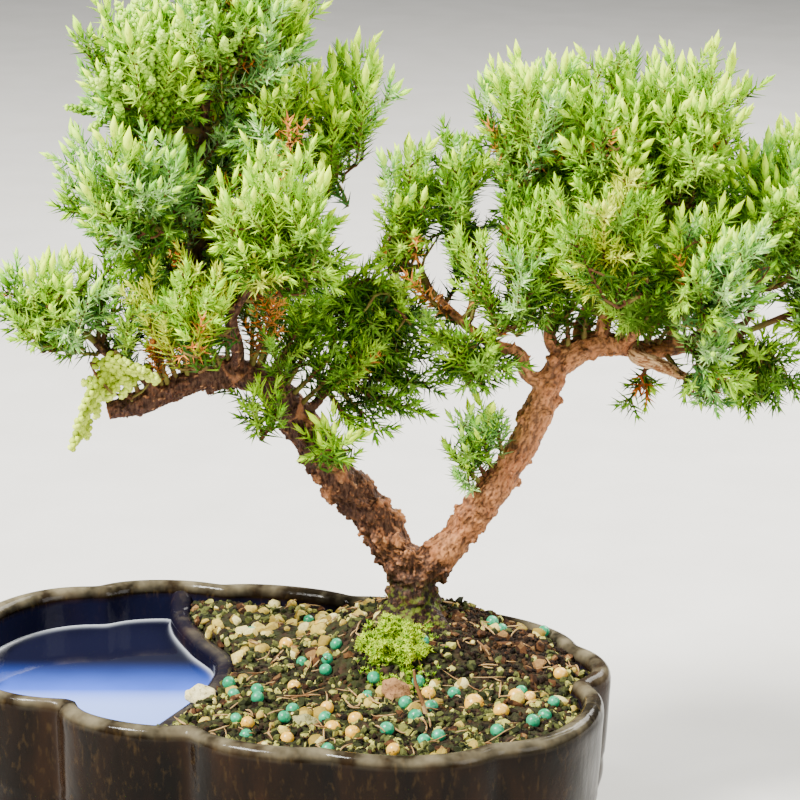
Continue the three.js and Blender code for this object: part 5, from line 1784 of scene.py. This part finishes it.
class JUNIPER_OT_bark(bpy.types.Operator):
    """Trunk and boughs as one skin of flaking bark, with knobs and surface roots."""

    bl_idname = "juniper.bark"
    bl_label = "Bark"

    def execute(self, context):
        settings = context.scene.juniper_bark
        rng = np.random.default_rng(31)
        shares = np.linspace(0, 1, 14)
        routes = [*[ROUTES[name] for name in TRUNK], *root_routes()]
        lines = [(route.at(shares), route.radius(shares)) for route in routes]
        lines[0] = self.flared(*lines[0])
        stubs = len(routes)
        for name in LIVING_LIMBS:
            route = grown_route(name)
            routes.append(route)
            collar = 0.28 if LIMBS[name][1] < 1 else 0
            lines.append(limb_chain(route, collar, rng, 0.3 if route.radii[0] > 3 else 0.15))
        lines += self.knobs(settings, rng)
        lines = [(to_pot(points), thick) for points, thick in lines]
        mesh = remeshed(tube_mesh("limb_tubes", lines, 14), settings.voxel, "bark_skin")
        smooth = np.array([False] * stubs + [name.startswith("right") for name in LIVING_LIMBS])
        self.carve(mesh, BarkField(routes), settings, smooth)
        add_piece(mesh, "bark", "trunk", *LIVING_LIMBS, material=bark_finish(settings))
        return {"FINISHED"}

    def flared(self, points, radii):
        """The trunk's line, carried down into the soil and widened at its foot."""
        points = np.concatenate([[[0, 0, -3]], points])
        radii = np.concatenate([radii[:1], radii])
        return points, radii * (1 + 0.3 * np.exp(-np.maximum(points[:, 2], 0) / 3.5))

    def knobs(self, settings, rng):
        """Short stubs of old shoots that stand out of the stems."""
        rows = [
            # limb, from, to, share of the knobs, size
            ("left_stem", 0.0, 0.6, 1.6, 1.6), ("left_stem", 0.5, 0.97, 0.7, 1.2),
            ("fork_left", 0.3, 1, 0.5, 1.5), ("right_stem", 0.03, 0.4, 0.6, 1.15),
            ("right_stem", 0.35, 0.97, 0.5, 1.0), ("fork_right", 0.4, 1, 0.3, 1.2),
            ("left_limb", 0.03, 0.9, 0.7, 1.0), ("right_limb", 0.03, 0.97, 0.7, 1.0),
            ("left_leader", 0.03, 0.97, 0.5, 1.0), ("trunk", 0.1, 0.97, 0.5, 1.0),
            ("right_inner_bough", 0.03, 0.97, 0.3, 1.0),
        ]
        for name, low, high, share, swell in rows:
            route = ROUTES[name]
            for _ in range(int(settings.knobs * share)):
                along = rng.uniform(low, high)
                heading = route.heading(along)
                radius = float(route.radius(along))
                out = rng.normal(size=3)
                out = unit(out - heading * (out @ heading))
                lean = unit(out + heading * rng.uniform(0.1, 0.7))
                size = min(1.8, radius * 0.34) * rng.uniform(0.5, 1.1) * swell
                reach = radius * 0.3 + rng.uniform(0.6, 1.9) * swell
                start = route.at(along) + out * radius * 0.7
                shares = np.array([[0], [0.5], [0.85], [1]])
                yield start + lean * reach * shares, size * np.array([1.5, 1.05, 0.85, 0.45])

    def carve(self, mesh, field, settings, smooth):
        """Pushes the skin in and out by the plates, and stores what the material reads."""
        points, normals = mesh_arrays(mesh)
        local, radius, index = field.read(points)
        relief = plate_relief(local)
        depth = np.minimum(settings.relief / MM, 0.24 * radius) * np.where(smooth[index], 0.6, 1)
        cut_centre = to_pot(ROUTES["left_limb"].at(1.0))
        cut_heading = to_pot_direction(ROUTES["left_limb"].heading(1.0))
        beyond = (points - cut_centre) @ cut_heading
        cut = smoothstep(beyond, -0.5, 0.4) * (np.linalg.norm(points - cut_centre, axis=1) < 7)
        points = points + normals * ((relief - 0.62) * depth * (1 - cut))[:, None]
        set_points(mesh, points)
        height = points[:, 2] - TREE_PLACE[2]
        across = (points[:, 0] - TREE_PLACE[0]) * math.cos(math.radians(TREE_TURN))
        proud = np.linalg.norm(local[:, :2], axis=1) - radius
        # Knobs standing proud get a painted highlight: their relief is raised and the darker tone taken off
        knob = smoothstep(proud, 1.0, 2.6) * smoothstep(height, 14, 28)
        read_relief = np.where(smooth[index], lerp(0.64, relief, 0.55), relief)
        dark = np.clip(smoothstep(-across, -6, 20) + smoothstep(height, 24, 8), 0, 1)
        masks = {
            "relief": np.maximum(read_relief, (0.46 + 0.4 * relief) * knob),
            "dark": dark * (1 - 0.6 * knob),
            "damp": smoothstep(height, 24, 9) * 0.94,
            "moss": smoothstep(height, 16, 2) * 0.8,
            "cut": cut,
        }
        for key, values in masks.items():
            store(mesh, key, values)
        mesh.update()


class JUNIPER_OT_deadwood(bpy.types.Operator):
    """The broken pale stub on the right limb."""

    bl_idname = "juniper.deadwood"
    bl_label = "Deadwood"

    def execute(self, context):
        route = grown_route("dead_stub")
        rng = np.random.default_rng(3)
        lines = []
        for strand in range(9):
            shares = np.linspace(0.05, rng.uniform(0.78, 1.0), 16)
            points, _, side, other = frames_along(route, shares)
            turn = strand * math.tau / 9 + 0.8 * shares
            away = 0.62 * route.radius(shares)
            offset = (np.cos(turn) * away)[:, None] * side + (np.sin(turn) * away)[:, None] * other
            thick = 0.55 * route.radius(shares) * (1 - 0.75 * shares**5) * rng.uniform(0.7, 1.1)
            lines.append((to_pot(points + offset), thick))
        for _ in range(7):
            base = route.at(rng.uniform(0.35, 0.95))
            out = unit(rng.normal(size=3) + [0.4, -0.6, -0.1])
            points = base + out * np.linspace(0, 1, 5)[:, None] * rng.uniform(2.5, 4.5)
            lines.append((to_pot(points), rng.uniform(0.35, 0.6) * np.array([1.3, 1, 0.9, 0.7, 0.3])))
        mesh = remeshed(tube_mesh("stub_tubes", lines, 8), 0.35 * MM, "deadwood_stub")
        points, normals = mesh_arrays(mesh)
        local = BarkField([route]).read(points)[0]
        fibre = np.array([noise.turbulence(Vector((x / 0.8, y / 0.8, z / 4)), 3, True) for x, y, z in local])
        set_points(mesh, points + normals * ((fibre - 0.5) * 0.45)[:, None])
        store(mesh, "relief", np.clip(fibre, 0, 1))
        finish = Finish("deadwood", roughness=0.8)
        body = finish.mix(finish.mottle(3, 0.35, 0.65), srgb(196, 146, 98), srgb(222, 184, 136))
        body = finish.mix(finish.ramp(finish.attribute("relief"), 0.5, 0.2), body, srgb(116, 72, 44))
        finish.colour(finish.mix(finish.mottle(1.2, 0.55, 0.75), body, srgb(150, 92, 58)))
        finish.bump(finish.mottle(0.5, 0.3, 0.7, 3.0, (3, 1, 1)), 0.15, 0.7)
        add_piece(mesh, "deadwood", "dead_stub", material=finish.material)
        return {"FINISHED"}


# Foliage
class Mass:
    """One mass of foliage, its space and the stem that carries it."""

    def __init__(self, index, row):
        self.name, (carrier, along), self.shoots, self.lift, centre, half, self.mix = row
        self.index = index
        self.centre = np.array(centre, float)
        self.half = np.array(half, float)
        self.weight = float(self.half.mean())
        start = leave_points(ROUTES[carrier], along, self.centre)
        end = self.centre + (self.centre - start[1]) * STEM_OVERRUN
        self.foot = ROUTES[carrier].at(along)
        self.stem = Route([self.foot, start[1], self.centre, end], (1.4, 0.9))
        self.side = "left" if self.name.startswith("left") else "right"


ALL_MASSES = [Mass(index, row) for index, row in enumerate(MASSES)]


def leaves_openings(points):
    """Whether points keep out of the openings that the photograph shows."""
    tilt = math.radians(VIEW_ELEVATION)
    away = points - VIEW_AIM
    depth = VIEW_DISTANCE + away @ [0, math.cos(tilt), -math.sin(tilt)]
    across = away[..., 0] * VIEW_DISTANCE / depth
    above = away @ [0, math.sin(tilt), math.cos(tilt)] * VIEW_DISTANCE / depth
    clear = np.ones(across.shape, bool)
    for x, y, radius, behind in OPENINGS:
        clear &= (np.hypot(across - x, above - y) > radius) | (points[..., 1] > behind)
    return clear


def stays_in_box(points):
    """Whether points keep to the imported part's own box."""
    placed = to_pot(points)
    low, high = [np.array(corner) / MM for corner in CAD_BOX]
    margin = np.array(BOX_MARGIN)
    return ((placed >= low - margin) & (placed <= high + margin)).all(-1)


def stays_inside(mass, points, allowance=REACH_ALLOWANCE):
    """Whether points keep to a mass's own space."""
    offset = points - mass.centre
    inside = np.linalg.norm(offset / mass.half, axis=-1) <= allowance
    inside &= stays_in_box(points)
    own = (offset**2).sum(-1) - mass.weight**2
    for other in ALL_MASSES:
        if other is mass:
            continue
        gap = np.linalg.norm(other.centre - mass.centre)
        theirs = ((points - other.centre) ** 2).sum(-1) - other.weight**2
        inside &= theirs - own >= -2 * gap * CELL_OVERLAP
    return inside


def limb_links():
    """Straight links along every limb, with their radii."""
    starts, ends, radii = [], [], []
    for name in ["trunk", *LIMBS]:
        route = ROUTES[name]
        shares = np.linspace(0, 1, 11)
        points = route.at(shares)
        starts.append(points[:-1])
        ends.append(points[1:])
        radii.append(route.radius(shares[:-1]))
    return np.concatenate(starts), np.concatenate(ends), np.concatenate(radii)


LINKS = limb_links()


def clear_of_limbs(points):
    """Whether points stand clear of the bark."""
    starts, ends, radii = LINKS
    flat = points.reshape(-1, 3)
    lines = ends - starts
    gaps = flat[:, None, :] - starts[None]
    share = np.clip((gaps * lines).sum(-1) / (lines**2).sum(-1), 0, 1)
    distance = np.linalg.norm(gaps - lines * share[..., None], axis=-1)
    return (distance > radii * 1.05 + LIMB_MARGIN).all(1).reshape(points.shape[:-1])


# One spray of needles: where it starts, where it points, how long it is, its colour and its light
Spray = namedtuple("Spray", "mass base heading length kind depth rise frond", defaults=(0.0, False))


def pick_kind(mix, value):
    """A needle colour picked by shares."""
    for kind, share in MIXES[mix].items():
        if value < share:
            return kind
        value -= share
    return next(iter(MIXES[mix]))


def grow_sprays(mass, settings):
    """The source's growth rule, carried to many more and finer shoots."""
    random = SeededRandom(SEED + mass.index)
    size = min(1, mass.weight / FULL_SIZE)
    hangs = mass.mix == "corded"
    wanted = mass.shoots * (5 if hangs else settings.fineness)
    tries = wanted * TRIES_PER_SHOOT
    spacing = settings.spacing / MM * (1.5 if hangs else 0.75 if size < SPRIG_SIZE else 1)
    drawn = np.array([[random() for _ in range(5)] for _ in range(tries)])
    order = np.arange(tries)
    rise = 1 - 2 * ((0.5 + order * EVEN_STEPS[0]) % 1)
    turn = math.tau * ((0.5 + order * EVEN_STEPS[1]) % 1)
    flat = np.sqrt(np.maximum(1 - rise**2, 0))
    outward = np.column_stack([flat * np.cos(turn), flat * np.sin(turn), rise])
    bud = 0.7 * settings.bud_length / MM * size
    depth = lerp(1.0, 0.3, (order / tries) ** 0.9)
    swell = np.array([noise.noise(Vector(way * 2.1 + mass.centre)) for way in outward])
    reach = depth * lerp(*REACH_SWELL, smoothstep(swell, -0.5, 0.5)) * (1 if size > SPRIG_SIZE else 0.8)
    length = lerp(*SHOOT_LENGTH, drawn[:, 0]) * size * lerp(0.4, 1, depth)
    spread = (drawn[:, 1:4] - 0.5) * 2 * JITTER
    low_lift = 1 if mass.lift < 0 else lerp(LOW_LIFT, 1, smoothstep(outward[:, 2], -0.6, 0.4))
    lift = mass.lift * LIFT_GAIN * low_lift
    heading = unit(outward + spread + np.array([0, 0, 1]) * np.broadcast_to(lift, tries)[:, None])
    bud_tip = mass.centre + outward * mass.half * reach[:, None]
    base = bud_tip - heading * (length + bud)[:, None]
    shares = np.array([0, 0.35, 0.7, 1.0])
    along = base[:, None, :] + heading[:, None, :] * (length[:, None] * shares)[..., None]
    tested = np.concatenate([along[:, 1:], bud_tip[:, None, :]], 1)
    fits = stays_inside(mass, tested).all(1) & clear_of_limbs(along).all(1) & leaves_openings(tested).all(1)
    fits &= np.linalg.norm((base - mass.centre) / mass.half, axis=1) < BASE_ALLOWANCE
    placed = []
    sprays = []
    for row in np.flatnonzero(fits):
        outer = along[row][2:]
        if placed and np.linalg.norm(np.array(placed)[:, None] - outer[None], axis=-1).min() < spacing:
            continue
        placed.extend(outer)
        kind = pick_kind(mass.mix, drawn[row, 4])
        if depth[row] < DRY_DEPTH and drawn[row, 0] < DRY_SHARE:
            kind = "dry"
        # Green sprays high on the outside turn fresh: partly young growth, partly painted light
        elif kind == "green" and outward[row, 2] * depth[row] > 0.45 and drawn[row, 0] < 0.6:
            kind = "fresh"
        rise = outward[row, 2] * depth[row]
        sprays.append(Spray(mass, base[row], heading[row], length[row], kind, float(depth[row]), rise, hangs))
        if len(sprays) >= wanted:
            break
    return sprays


def nearest_mass(point):
    """The mass whose space a point is in."""
    return min(ALL_MASSES, key=lambda mass: ((point - mass.centre) ** 2).sum() - mass.weight**2)


def limb_sprays(name, low, high, mix, rng):
    """Sprays that a limb carries itself, each with the twig that bears it."""
    route = ROUTES[name]
    count = int((high - low) * route.length / LIMB_SPRAY_STEP)
    grown = []
    for k in range(count):
        share = lerp(low, high, (k + rng.uniform(0.1, 0.9)) / count)
        axis, along = route.at(share), route.heading(share)
        across = unit(np.cross(along, [0.3, 1, 0.2]))
        turn = k * GOLDEN_TURN + rng.uniform(-0.4, 0.4)
        outward = across * math.cos(turn) + np.cross(along, across) * math.sin(turn)
        if abs(along[2]) < 0.6 and outward[2] < 0.1:
            continue
        heading = unit(outward + along * 0.55 + [0, 0, 0.5] + rng.normal(0, 0.15, 3))
        base = axis + outward * (float(route.radius(share)) + LIMB_MARGIN)
        length = rng.uniform(*LIMB_SPRAY_LENGTH)
        points = base + heading * (length * np.array([0.3, 0.6, 1]))[:, None]
        if not (stays_in_box(points) & clear_of_limbs(points) & leaves_openings(points)).all():
            continue
        mass = nearest_mass(points[1])
        kind = "dry" if rng.random() < DRY_SHARE else pick_kind(mix, rng.random())
        spray = Spray(mass, base, heading, length, kind, 0.62)
        twig = np.array([axis, base, *points[:2]])
        grown.append((spray, (twig, np.array([0.9, 0.75, 0.5, 0.35]))))
    return grown


def long_fronds():
    """Long fronds that a limb carries itself, each with the twig that bears it."""
    for name, rows in FRONDS:
        route = ROUTES[name]
        for share, tip, kind in rows:
            axis = route.at(share)
            heading = unit(np.array(tip) - axis)
            base = axis + heading * (float(route.radius(share)) + 2)
            length = float(np.linalg.norm(tip - base))
            spray = Spray(nearest_mass(np.array(tip)), base, heading, length, kind, 0.8, frond=True)
            twig = np.array([axis, base, base + heading * length * 0.3, base + heading * length * 0.6])
            yield spray, (twig, np.array([1.0, 0.85, 0.6, 0.4]))


class TwigNet:
    """Twigs that join every spray to the mass's stem, thick where many hang on them."""

    def __init__(self, mass):
        shares = np.linspace(0, 1, 16)
        self.points = [point for point in mass.stem.at(shares)]
        self.path = list(shares * mass.stem.length)
        self.parent = [-1, *range(15)]
        self.load = [0.0] * 16
        self.chains = [list(range(16))]

    def attach(self, spray, rng):
        """Runs a twig from the nearest wood to the foot of a spray."""
        points = np.array(self.points)
        gaps = points - spray.base
        distance = np.linalg.norm(gaps, axis=1)
        behind = (gaps @ spray.heading) / np.maximum(distance, 1e-6)
        cost = distance * (1 + 0.6 * np.clip(behind + 0.3, 0, None)) + 0.3 * np.array(self.path)
        cost[:3] += 30
        foot = int(cost.argmin())
        start = points[foot]
        gap = float(distance[foot])
        count = max(2, int(gap / 3.5))
        chain = [foot]
        if gap > 0.5:
            middle = lerp(start, spray.base, 0.55) - spray.heading * gap * 0.12
            middle = middle + rng.normal(0, 0.04 * gap, 3)
            route = Route([start, middle, spray.base])
            for share in np.linspace(0, 1, count + 1)[1:]:
                chain.append(self.add(route.at(share), chain[-1]))
        for share in (0.25, 0.5):
            inner = spray.base + spray.heading * spray.length * share
            chain.append(self.add(inner, chain[-1]))
        node = chain[-1]
        while node >= 0:
            self.load[node] += 1
            node = self.parent[node]
        self.chains.append(chain)

    def add(self, point, parent):
        """One more point of wood."""
        self.points.append(point)
        self.parent.append(parent)
        self.path.append(self.path[parent] + float(np.linalg.norm(point - self.points[parent])))
        self.load.append(0.0)
        return len(self.points) - 1

    def lines(self):
        """The twigs' centre lines and radii."""
        points = np.array(self.points)
        radii = np.minimum(0.27 * np.array(self.load) ** 0.42 + 0.08, 1.1)
        for chain in self.chains:
            rows = np.array(chain)
            thick = radii[rows].copy()
            thick[0] = min(thick[0], thick[1] * 1.5)
            yield points[rows], thick


class NeedleStore:
    """Needles and buds by side and colour, and the twigs inside the sprays by side."""

    def __init__(self):
        self.needles = defaultdict(list)
        self.buds = defaultdict(list)
        self.axes = defaultdict(list)


def side_shoots(spray, main, side_way, rng):
    """Side shoots: in two rows on a frond, or low down and in a cluster near the tip."""
    other_way = np.cross(spray.heading, side_way)
    if spray.frond:
        plan = [(share, (0.48 - 0.3 * share) * spray.length) for share in np.linspace(0.16, 0.88, 6)]
    else:
        count = int(rng.integers(1, 3))
        plan = [(rng.uniform(0.18, 0.5), rng.uniform(0.3, 0.45) * spray.length) for _ in range(count)]
    if spray.kind == "blunt":
        plan += [(rng.uniform(0.2, 0.9), rng.uniform(0.25, 0.42) * spray.length) for _ in range(5)]
    elif spray.kind != "dry" and spray.depth > 0.55 and not spray.frond:
        plan += [(rng.uniform(0.58, 0.92), rng.uniform(4.5, 8.5)) for _ in range(int(rng.integers(2, 4)))]
    start = rng.uniform(0, math.tau)
    for k, (share, length) in enumerate(plan):
        turn = start + k * (math.pi if spray.frond else GOLDEN_TURN)
        out = math.cos(turn) * side_way + math.sin(turn) * other_way
        lean = math.radians(rng.uniform(28, 46))
        heading = unit(main.heading(share) * math.cos(lean) + out * math.sin(lean))
        tip = main.at(share) + heading * length
        if leaves_openings(tip) and stays_in_box(tip):
            yield main.at(share), heading, length


def grow_needles(store, spray, rng, settings):
    """Whorls of three needles along a spray and its side shoots, with buds at their tips."""
    whorl = settings.whorl / MM
    habit = HABITS[spray.kind]
    side_way = unit(np.cross(spray.heading, rng.normal(size=3)))
    bend = rng.uniform(-0.1, 0.1)
    rise = -0.3 if spray.kind == "corded" else 0.14

    def axis(base, heading, length, curl):
        shares = np.linspace(0, 1, 6 if length > 12 else 3)[:, None]
        lift = np.array([0, 0, rise]) * length * shares**2
        return base + heading * length * shares + curl * side_way * length * shares**2 + lift

    shoots = [(axis(spray.base, spray.heading, spray.length, bend), 1.0)]
    main = Route(shoots[0][0])
    for base, heading, length in side_shoots(spray, main, side_way, rng):
        shoots.append((axis(base, heading, length, rng.uniform(-0.12, 0.12)), 0.82))
    side = spray.mass.side
    for points, scale in shoots:
        route = Route(points)
        pitch = whorl * habit[3] * (0.9 + 0.1 * scale) * (0.85 if spray.frond else 1)
        rings = max(3, int(route.length / pitch))
        start = 0.02 if scale == 1.0 else 1.2 / rings
        leaves = 2 if spray.kind == "corded" else 3
        shares = np.repeat(np.linspace(start, 0.985, rings), leaves)
        ring = np.repeat(np.arange(rings), leaves)
        place = route.at(shares)
        heading = route.heading(shares)
        first = unit(np.cross(heading, side_way + 0.01))
        second = np.cross(heading, first)
        angle = np.tile(np.arange(leaves) * math.tau / leaves, rings) + ring * math.pi / leaves
        angle = angle + rng.normal(0, 0.14, len(angle))
        out = first * np.cos(angle)[:, None] + second * np.sin(angle)[:, None]
        lean = np.radians(lerp(60, 26, shares**1.8) * habit[2] + rng.normal(0, 5, len(shares)))
        direction = heading * np.cos(lean)[:, None] + out * np.sin(lean)[:, None]
        long = lerp(1.0, 0.62, shares**2.2) * lerp(0.8, 1, smoothstep(shares, 0, 0.25)) * scale
        long = long * habit[0] * rng.uniform(0.88, 1.1, len(shares))
        wide = habit[1] * (0.82 + 0.18 * scale) * rng.uniform(0.9, 1.1, len(shares))
        shade = self_shade(shares, spray, rng)
        turns = quaternions(direction, heading - out * 0.6)
        stretch = np.column_stack([wide, wide, long])
        store.needles[side, spray.kind].append((place + out * 0.25, turns, stretch, shade))
        radius = 0.62 if spray.kind == "corded" else 0.42 * scale
        store.axes[side].append((points[:-1], np.linspace(radius, 0.22, len(points) - 1)))
        if spray.kind in BUD_COLOURS:
            tip = points[-1]
            forward = unit(points[-1] - points[-2])
            fullness = min(1.05, 0.3 + 0.6 * spray.depth + 0.35 * spray.rise)
            fullness = fullness * BUD_GROWTH.get(spray.mass.mix, 1)
            bud = BUD_SIZES[spray.kind] * rng.uniform(0.75, 1.12) * fullness
            bud = bud * (1 if scale == 1.0 else 0.8)
            # Buds high and outside take the painted light colour, the others the painted shade colour
            lit = int(fullness + rng.normal(0, 0.1) > 0.86)
            stretch = np.array([[bud * rng.uniform(0.85, 1.1)] * 2 + [bud]])
            if spray.kind in SCALE_KINDS:
                stretch = stretch * [[1.5, 1.5, 1]]
            turns = quaternions(forward[None], rng.normal(size=(1, 3)))
            store.buds[side, spray.kind].append(((tip - forward * 2.2 * bud)[None], turns, stretch, [lit]))


def self_shade(shares, spray, rng):
    """Which colour each needle takes: darker low on the spray, partly older needles and partly painted shade,
    with painted shade deep inside the mass and painted light on sprays high on its outside.
    """
    light = shares + rng.normal(0, 0.1, len(shares)) + 0.5 * (spray.depth - 0.75) + 0.3 * (spray.rise - 0.1)
    shade = np.where(light > 0.84, 2, np.where(light > 0.42, 1, 0))
    return shade.astype(np.int32)


def closed_template(name, points, faces, pale=(), smooth=False):
    """A small convex shape with its faces turned outwards, some of them marked pale."""
    points = np.array(points, float)
    middle = points.mean(0)
    turned = []
    for face in faces:
        corners = points[list(face)]
        normal = np.cross(corners[1] - corners[0], corners[2] - corners[0])
        outward = normal @ (corners.mean(0) - middle) > 0
        turned.append(tuple(face) if outward else tuple(reversed(face)))
    mesh = new_mesh(name, points, [np.array(turned)], smooth=smooth)
    store(mesh, "pale", [int(index in pale) for index in range(len(faces))], "FACE")
    return mesh


def needle_template(length, width):
    """A three-sided awl, widest at its foot, with its pale flat side towards +X."""
    points = [(-0.34 * width, 0, 0), (0.16 * width, 0.5 * width, 0), (0.16 * width, -0.5 * width, 0)]
    points.append((0.1 * width, 0, length))
    return closed_template("needle", points, [(0, 1, 2), (0, 1, 3), (0, 2, 3), (1, 2, 3)], pale=(3,))


def spindle_template(name, rings, sides, length, width, ridge=1.0):
    """A closed spindle from rings of points, each at a share of its length and width."""
    points = [(0, 0, 0)]
    for height, wide in rings:
        for k in range(sides):
            turn = k * math.tau / sides
            reach = 0.5 * width * wide * (1 if k % 2 else ridge)
            points.append((reach * math.cos(turn), reach * math.sin(turn), height * length))
    points.append((0, 0, length))
    last = len(points) - 1
    faces = []
    for k in range(sides):
        after = (k + 1) % sides
        faces.append((0, 1 + k, 1 + after))
        for ring in range(len(rings) - 1):
            here, above = 1 + ring * sides, 1 + (ring + 1) * sides
            faces.append((here + k, here + after, above + after))
            faces.append((here + k, above + after, above + k))
        top = 1 + (len(rings) - 1) * sides
        faces.append((last, top + k, top + after))
    return closed_template(name, points, faces, smooth=True)


def plain_leaf(name, colour, roughness=0.48):
    """A plain leaf colour."""
    return Finish(name, roughness=roughness).colour(srgb(*colour)).material


def twig_finish(settings):
    """Thin brown twig bark with green patches."""
    finish = Finish("twig_bark", roughness=0.75)
    body = finish.mix(finish.mottle(3, 0.35, 0.65), settings.twig, srgb(92, 56, 34))
    finish.colour(finish.mix(finish.mottle(7, 0.45, 0.62), body, srgb(120, 116, 52)))
    finish.bump(finish.mottle(0.8, 0.2, 0.8), 0.12, 0.5)
    return finish.material


class JUNIPER_OT_foliage(bpy.types.Operator):
    """Twigs, needles and buds grown on from the limbs by the source's rule."""

    bl_idname = "juniper.foliage"
    bl_label = "Foliage"

    def execute(self, context):
        settings = context.scene.juniper_foliage
        rng = np.random.default_rng(SEED)
        store = NeedleStore()
        wood = {"left": [], "right": []}
        for mass in ALL_MASSES:
            sprays = grow_sprays(mass, settings)
            if not sprays:
                raise RuntimeError(mass.name + " grew no sprays")
            net = TwigNet(mass)
            for spray in sorted(sprays, key=lambda item: item.depth):
                net.attach(spray, rng)
                grow_needles(store, spray, rng, settings)
            wood[mass.side].extend(net.lines())
        for name, low, high, mix in BRUSHED_LIMBS:
            for spray, twig in limb_sprays(name, low, high, mix, rng):
                grow_needles(store, spray, rng, settings)
                wood[spray.mass.side].append(twig)
        for spray, twig in long_fronds():
            grow_needles(store, spray, rng, settings)
            wood[spray.mass.side].append(twig)
        bark = twig_finish(settings)
        for side in wood:
            self.add_twigs("twigs_" + side, wood[side], 5, side, bark)
            self.add_twigs("sprigs_" + side, store.axes[side], 3, side, bark)
        length, width = settings.needle_length / MM, settings.needle_width / MM
        needle = bpy.data.objects.new("needle", needle_template(length, width))
        scale = bpy.data.objects.new("scale", spindle_template(
            "scale", [(0.35, 1), (0.8, 0.8)], 4, 0.9 * length, 1.9 * width,
        ))
        bud = bpy.data.objects.new("bud", spindle_template(
            "bud", [(0.24, 0.8), (0.55, 0.96)], 5, settings.bud_length / MM,
            settings.bud_width / MM, 0.85,
        ))
        for kind, colours in NEEDLE_COLOURS.items():
            levels = zip(("low", "mid", "tip", "pale"), colours)
            leaves = [plain_leaf(f"{kind}_{level}", colour) for level, colour in levels]
            template = scale if kind in SCALE_KINDS else needle
            self.add_batches(store.needles, kind, template, "needles", leaves[:3], leaves[3])
        for kind, colour in BUD_COLOURS.items():
            levels = zip(("low", "lit"), colour)
            leaves = [plain_leaf(f"bud_{kind}_{level}", shade, 0.42) for level, shade in levels]
            self.add_batches(store.buds, kind, bud, "buds", leaves)
        drop(needle, scale, bud)
        return {"FINISHED"}

    def masses_on(self, side):
        """The nodes that this side's foliage stands for."""
        return [mass.name for mass in ALL_MASSES if mass.side == side]

    def add_twigs(self, name, lines, sides, side, finish):
        """Twigs of one side as one mesh."""
        lines = [(to_pot(points), thick) for points, thick in lines]
        add_piece(tube_mesh(name, lines, sides, finish), "bark", *self.masses_on(side))

    def add_batches(self, batches, kind, template, label, leaves, pale=None):
        """Every batch of needles or buds of one kind as one mesh for each side."""
        for side in ("left", "right"):
            if (side, kind) not in batches:
                continue
            places, turns, stretches, shades = [np.concatenate(part) for part in zip(*batches[side, kind])]
            add_piece(placed_mesh(f"{label}_{kind}_{side}", template, leaves, to_pot(places), {
                "turn": turned_with_tree(turns), "stretch": stretches, "shade": shades,
            }, pale), "foliage", *self.masses_on(side))


def turned_with_tree(turns):
    """Rotations in the tree's plan, turned on with the tree."""
    half = math.radians(TREE_TURN) / 2
    c, s = math.cos(half), math.sin(half)
    w, x, y, z = turns.T
    return np.column_stack([c * w - s * z, c * x - s * y, c * y + s * x, c * z + s * w])


class JUNIPER_PT_panel(bpy.types.Panel):
    """Lists what can be made."""

    bl_idname = "JUNIPER_PT_panel"
    bl_label = "Juniper bonsai"
    bl_space_type = "VIEW_3D"
    bl_region_type = "UI"
    bl_category = "Juniper"

    def draw(self, context):
        for key, steps in PANEL_ROWS:
            box = self.layout.box()
            for step in steps:
                box.operator(step.bl_idname)
            settings = getattr(context.scene, "juniper_" + key)
            for name in settings.__annotations__:
                box.prop(settings, name)


SETTINGS = {
    "stage": JUNIPER_PG_stage,
    "pot": JUNIPER_PG_pot,
    "soil": JUNIPER_PG_soil,
    "bark": JUNIPER_PG_bark,
    "foliage": JUNIPER_PG_foliage,
}
PANEL_ROWS = [
    ("stage", [JUNIPER_OT_stage]),
    ("pot", [JUNIPER_OT_pot, JUNIPER_OT_water]),
    ("soil", [JUNIPER_OT_ground, JUNIPER_OT_litter, JUNIPER_OT_stones, JUNIPER_OT_moss]),
    ("bark", [JUNIPER_OT_bark, JUNIPER_OT_deadwood]),
    ("foliage", [JUNIPER_OT_foliage]),
]
CLASSES = [*SETTINGS.values(), *[step for _, steps in PANEL_ROWS for step in steps], JUNIPER_PT_panel]


def register():
    """Adds the classes and the settings to Blender."""
    for made in CLASSES:
        bpy.utils.register_class(made)
    for key, group in SETTINGS.items():
        setattr(bpy.types.Scene, "juniper_" + key, bpy.props.PointerProperty(type=group))


def unregister():
    """Takes them out again."""
    for key in SETTINGS:
        delattr(bpy.types.Scene, "juniper_" + key)
    for made in reversed(CLASSES):
        bpy.utils.unregister_class(made)


def main():
    """Makes everything in order."""
    register()
    for _, steps in PANEL_ROWS:
        for step in steps:
            group, name = step.bl_idname.split(".")
            getattr(getattr(bpy.ops, group), name)()
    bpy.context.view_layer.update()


if __name__ == "__main__":
    main()
